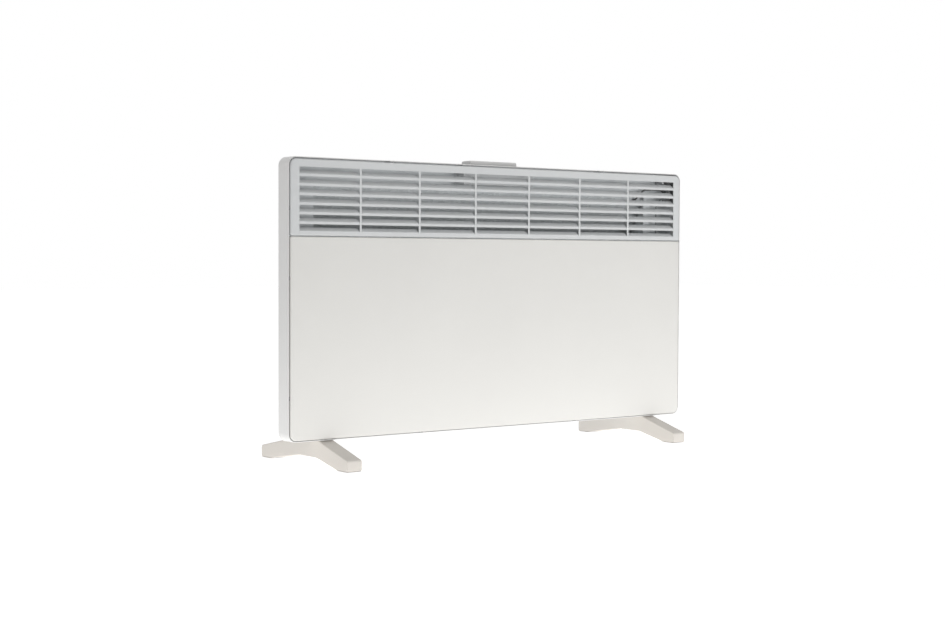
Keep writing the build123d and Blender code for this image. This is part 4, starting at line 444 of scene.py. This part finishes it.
# Dial: marks and figures round the knob, which points straight up at rest
DIAL_SWEEP = math.radians(270)
TICK_RADIUS = 0.0165
TICK_SIZE = (0.0015, 0.0004)
FIGURE_RADIUS = 0.0189
SIDEWAYS = (0.0, 1.0, 0.0)
UPWARDS = (0.0, 0.0, 1.0)

knob_centre = pivots["knob"]
dial_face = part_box("dial_plate")[1][0]
dial_plane = plane_at((dial_face, knob_centre.y, knob_centre.z), SIDEWAYS, UPWARDS)
dial_marks = []
for step, number in enumerate(FIGURES):
    angle = DIAL_SWEEP * (step / (len(FIGURES) - 1) - 0.5)
    outwards = Vector((math.sin(angle), math.cos(angle)))
    dial_marks.append(bar(outwards * TICK_RADIUS, *TICK_SIZE, angle))
    dial_marks += figure(number, outwards * FIGURE_RADIUS)
printed("dial_print", dial_marks, dial_plane, "heater", "dark_plastic")

# Dark line in the knob's pointer notch
NOTCH_TOP = 0.0125
NOTCH_LENGTH = 0.0053
NOTCH_WIDTH = 0.0015
NOTCH_FLOOR = 0.00079
NOTCH_FILL = 0.0003

knob_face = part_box("thermostat_knob")[1][0]
notch_plane = plane_at((knob_face - NOTCH_FLOOR, knob_centre.y, knob_centre.z), SIDEWAYS, UPWARDS)
pointer = bar((0.0, NOTCH_TOP - NOTCH_LENGTH / 2), NOTCH_LENGTH, NOTCH_WIDTH, 0.0)
printed("pointer_line", [pointer], notch_plane, "knob", "dark_plastic", NOTCH_FILL)

# I and O on each rocker's two faces. The faces rise from a valley at the pivot, and at rest
# the rocker is tilted, so that the upper one leans by twice the tilt and the lower is upright.
ROCKER_TILT = math.radians(10.0)
ROCKER_CROWN = 0.0034
ROCKER_REACH = 0.0084
MARK_PLACE = 0.0044
MARK_BAR = (0.0034, 0.0007)
MARK_RING = (0.0018, 0.0006)
MARK_LIFT = 0.00001
MARKS = (
    ("_on", 1, 2 * ROCKER_TILT, [bar((0.0, 0.0), *MARK_BAR, 0.0)]),
    ("_off", -1, 0.0, ring(*MARK_RING)),
)

sine, cosine = math.sin(ROCKER_TILT), math.cos(ROCKER_TILT)
valley = ROCKER_CROWN - ROCKER_REACH * math.tan(ROCKER_TILT)
level = valley + MARK_PLACE * math.tan(ROCKER_TILT) + MARK_LIFT
for body_name in ("rocker_front", "rocker_rear"):
    for ending, end, slope, mark in MARKS:
        out = level * cosine + end * MARK_PLACE * sine
        rise = end * MARK_PLACE * cosine - level * sine
        up = (math.sin(slope), 0.0, math.cos(slope))
        face = plane_at(pivots[body_name] + Vector((out, 0.0, rise)), SIDEWAYS, up)
        printed(body_name + ending, mark, face, body_name, "dial_film")


# ------------------------------------------------------------ camera and stage

# The pinhole camera that was fitted to the photograph
FOCAL_PIXELS = 1647.4
IMAGE_WIDTH = 945
SENSOR = 36.0
YAW = math.radians(37.690)
PITCH = math.radians(1.986)
ROLL = math.radians(0.231)
CAMERA_PLACE = Vector((-1.5770, -2.0159, 0.2979))
CLIP_START = 0.05
CLIP_END = 60.0

camera_data = bpy.data.cameras.new("camera")
camera = bpy.data.objects.new("camera", camera_data)
bpy.context.scene.collection.objects.link(camera)
camera_data.sensor_width = SENSOR
camera_data.sensor_fit = "HORIZONTAL"
camera_data.lens = FOCAL_PIXELS * SENSOR / IMAGE_WIDTH
camera_data.clip_start = CLIP_START
camera_data.clip_end = CLIP_END
camera.location = CAMERA_PLACE
aim = Vector((math.sin(YAW) * math.cos(PITCH), math.cos(YAW) * math.cos(PITCH), -math.sin(PITCH)))
camera.rotation_mode = "QUATERNION"
camera.rotation_quaternion = aim.to_track_quat("-Z", "Y") @ Quaternion((0.0, 0.0, 1.0), ROLL)
bpy.context.scene.camera = camera


def seen_white(tree, amount):
    """An amount for camera, glossy and transmission rays, and 0 for all others."""
    path = tree.nodes.new("ShaderNodeLightPath")
    total = path.outputs["Is Camera Ray"]
    for key in ("Is Glossy Ray", "Is Transmission Ray"):
        node = tree.nodes.new("ShaderNodeMath")
        node.operation = "MAXIMUM"
        tree.links.new(total, node.inputs[0])
        tree.links.new(path.outputs[key], node.inputs[1])
        total = node.outputs[0]
    scale = tree.nodes.new("ShaderNodeMath")
    scale.operation = "MULTIPLY"
    scale.inputs[1].default_value = amount
    tree.links.new(total, scale.inputs[0])
    return scale.outputs[0]


# The world lights the heater at this strength and is seen at a strength of 1
AMBIENT = 0.46

world = bpy.data.worlds.new("studio")
bpy.context.scene.world = world
world.use_nodes = True
world_tree = world.node_tree
world_tree.nodes.clear()
world_out = world_tree.nodes.new("ShaderNodeOutputWorld")
background = world_tree.nodes.new("ShaderNodeBackground")
background.inputs["Color"].default_value = OPAQUE_WHITE
strength = world_tree.nodes.new("ShaderNodeMath")
strength.operation = "ADD"
strength.inputs[1].default_value = AMBIENT
world_tree.links.new(seen_white(world_tree, 1.0 - AMBIENT), strength.inputs[0])
world_tree.links.new(strength.outputs[0], background.inputs["Strength"])
world_tree.links.new(background.outputs[0], world_out.inputs["Surface"])

# The floor keeps the heater's soft shadow, and is seen a little brighter than it is lit
FLOOR_REACH = 12.0
FLOOR_WHITE = (0.86, 0.86, 0.855)
FLOOR_SHINE = 0.6

floor_mesh = bpy.data.meshes.new("floor")
floor_bm = bmesh.new()
bmesh.ops.create_grid(floor_bm, x_segments=1, y_segments=1, size=FLOOR_REACH)
floor_bm.to_mesh(floor_mesh)
floor_bm.free()
floor = bpy.data.objects.new("floor", floor_mesh)
bpy.context.scene.collection.objects.link(floor)
paper = Tree("floor_paper")
paper.set(Base_Color=FLOOR_WHITE, Roughness=0.9, Specular_IOR_Level=0.1)
shine = paper.add("ShaderNodeEmission")
shine.inputs["Color"].default_value = OPAQUE_WHITE
paper.link(seen_white(paper.tree, FLOOR_SHINE), shine.inputs["Strength"])
both = paper.add("ShaderNodeAddShader")
paper.link(paper.shader.outputs[0], both.inputs[0])
paper.link(shine.outputs[0], both.inputs[1])
paper.link(both.outputs[0], paper.out.inputs["Surface"])
floor_mesh.materials.append(paper.material)


def area_light(name, place, target, size, power):
    data = bpy.data.lights.new(name, "AREA")
    data.shape = "RECTANGLE"
    data.size, data.size_y = size
    data.energy = power
    lamp = bpy.data.objects.new(name, data)
    lamp.location = place
    lamp.rotation_mode = "QUATERNION"
    lamp.rotation_quaternion = (Vector(target) - Vector(place)).to_track_quat("-Z", "Y")
    bpy.context.scene.collection.objects.link(lamp)
    return lamp


# The table top under and round the heater glows softly, as in the photo, where the heater
# is brightest next to the floor. The lamp lies on the floor and isn't seen itself.
GLOW_SIZE = (1.36, 0.70)
GLOW_POWER = 2.5
GLOW_LIFT = 0.0005

glow = area_light("glow", (0.0, 0.0, GLOW_LIFT), (0.0, 0.0, 1.0), GLOW_SIZE, GLOW_POWER)
glow.visible_camera = False
glow.visible_glossy = False
glow.visible_transmission = False

# Name, place, target, size in metres and power in watts
LAMPS = (
    ("key", (1.4, -2.0, 0.1), (0.3, 0.0, 0.1), (1.8, 0.5), 18.0),
    ("left", (-2.4, -0.7, 0.1), (-0.3, 0.0, 0.1), (1.2, 0.5), 8.2),
    ("top", (0.0, -0.6, 3.2), (0.0, 0.0, 0.2), (2.5, 2.5), 12.0),
)
for lamp_row in LAMPS:
    area_light(*lamp_row)

bpy.context.scene.view_settings.view_transform = "Standard"
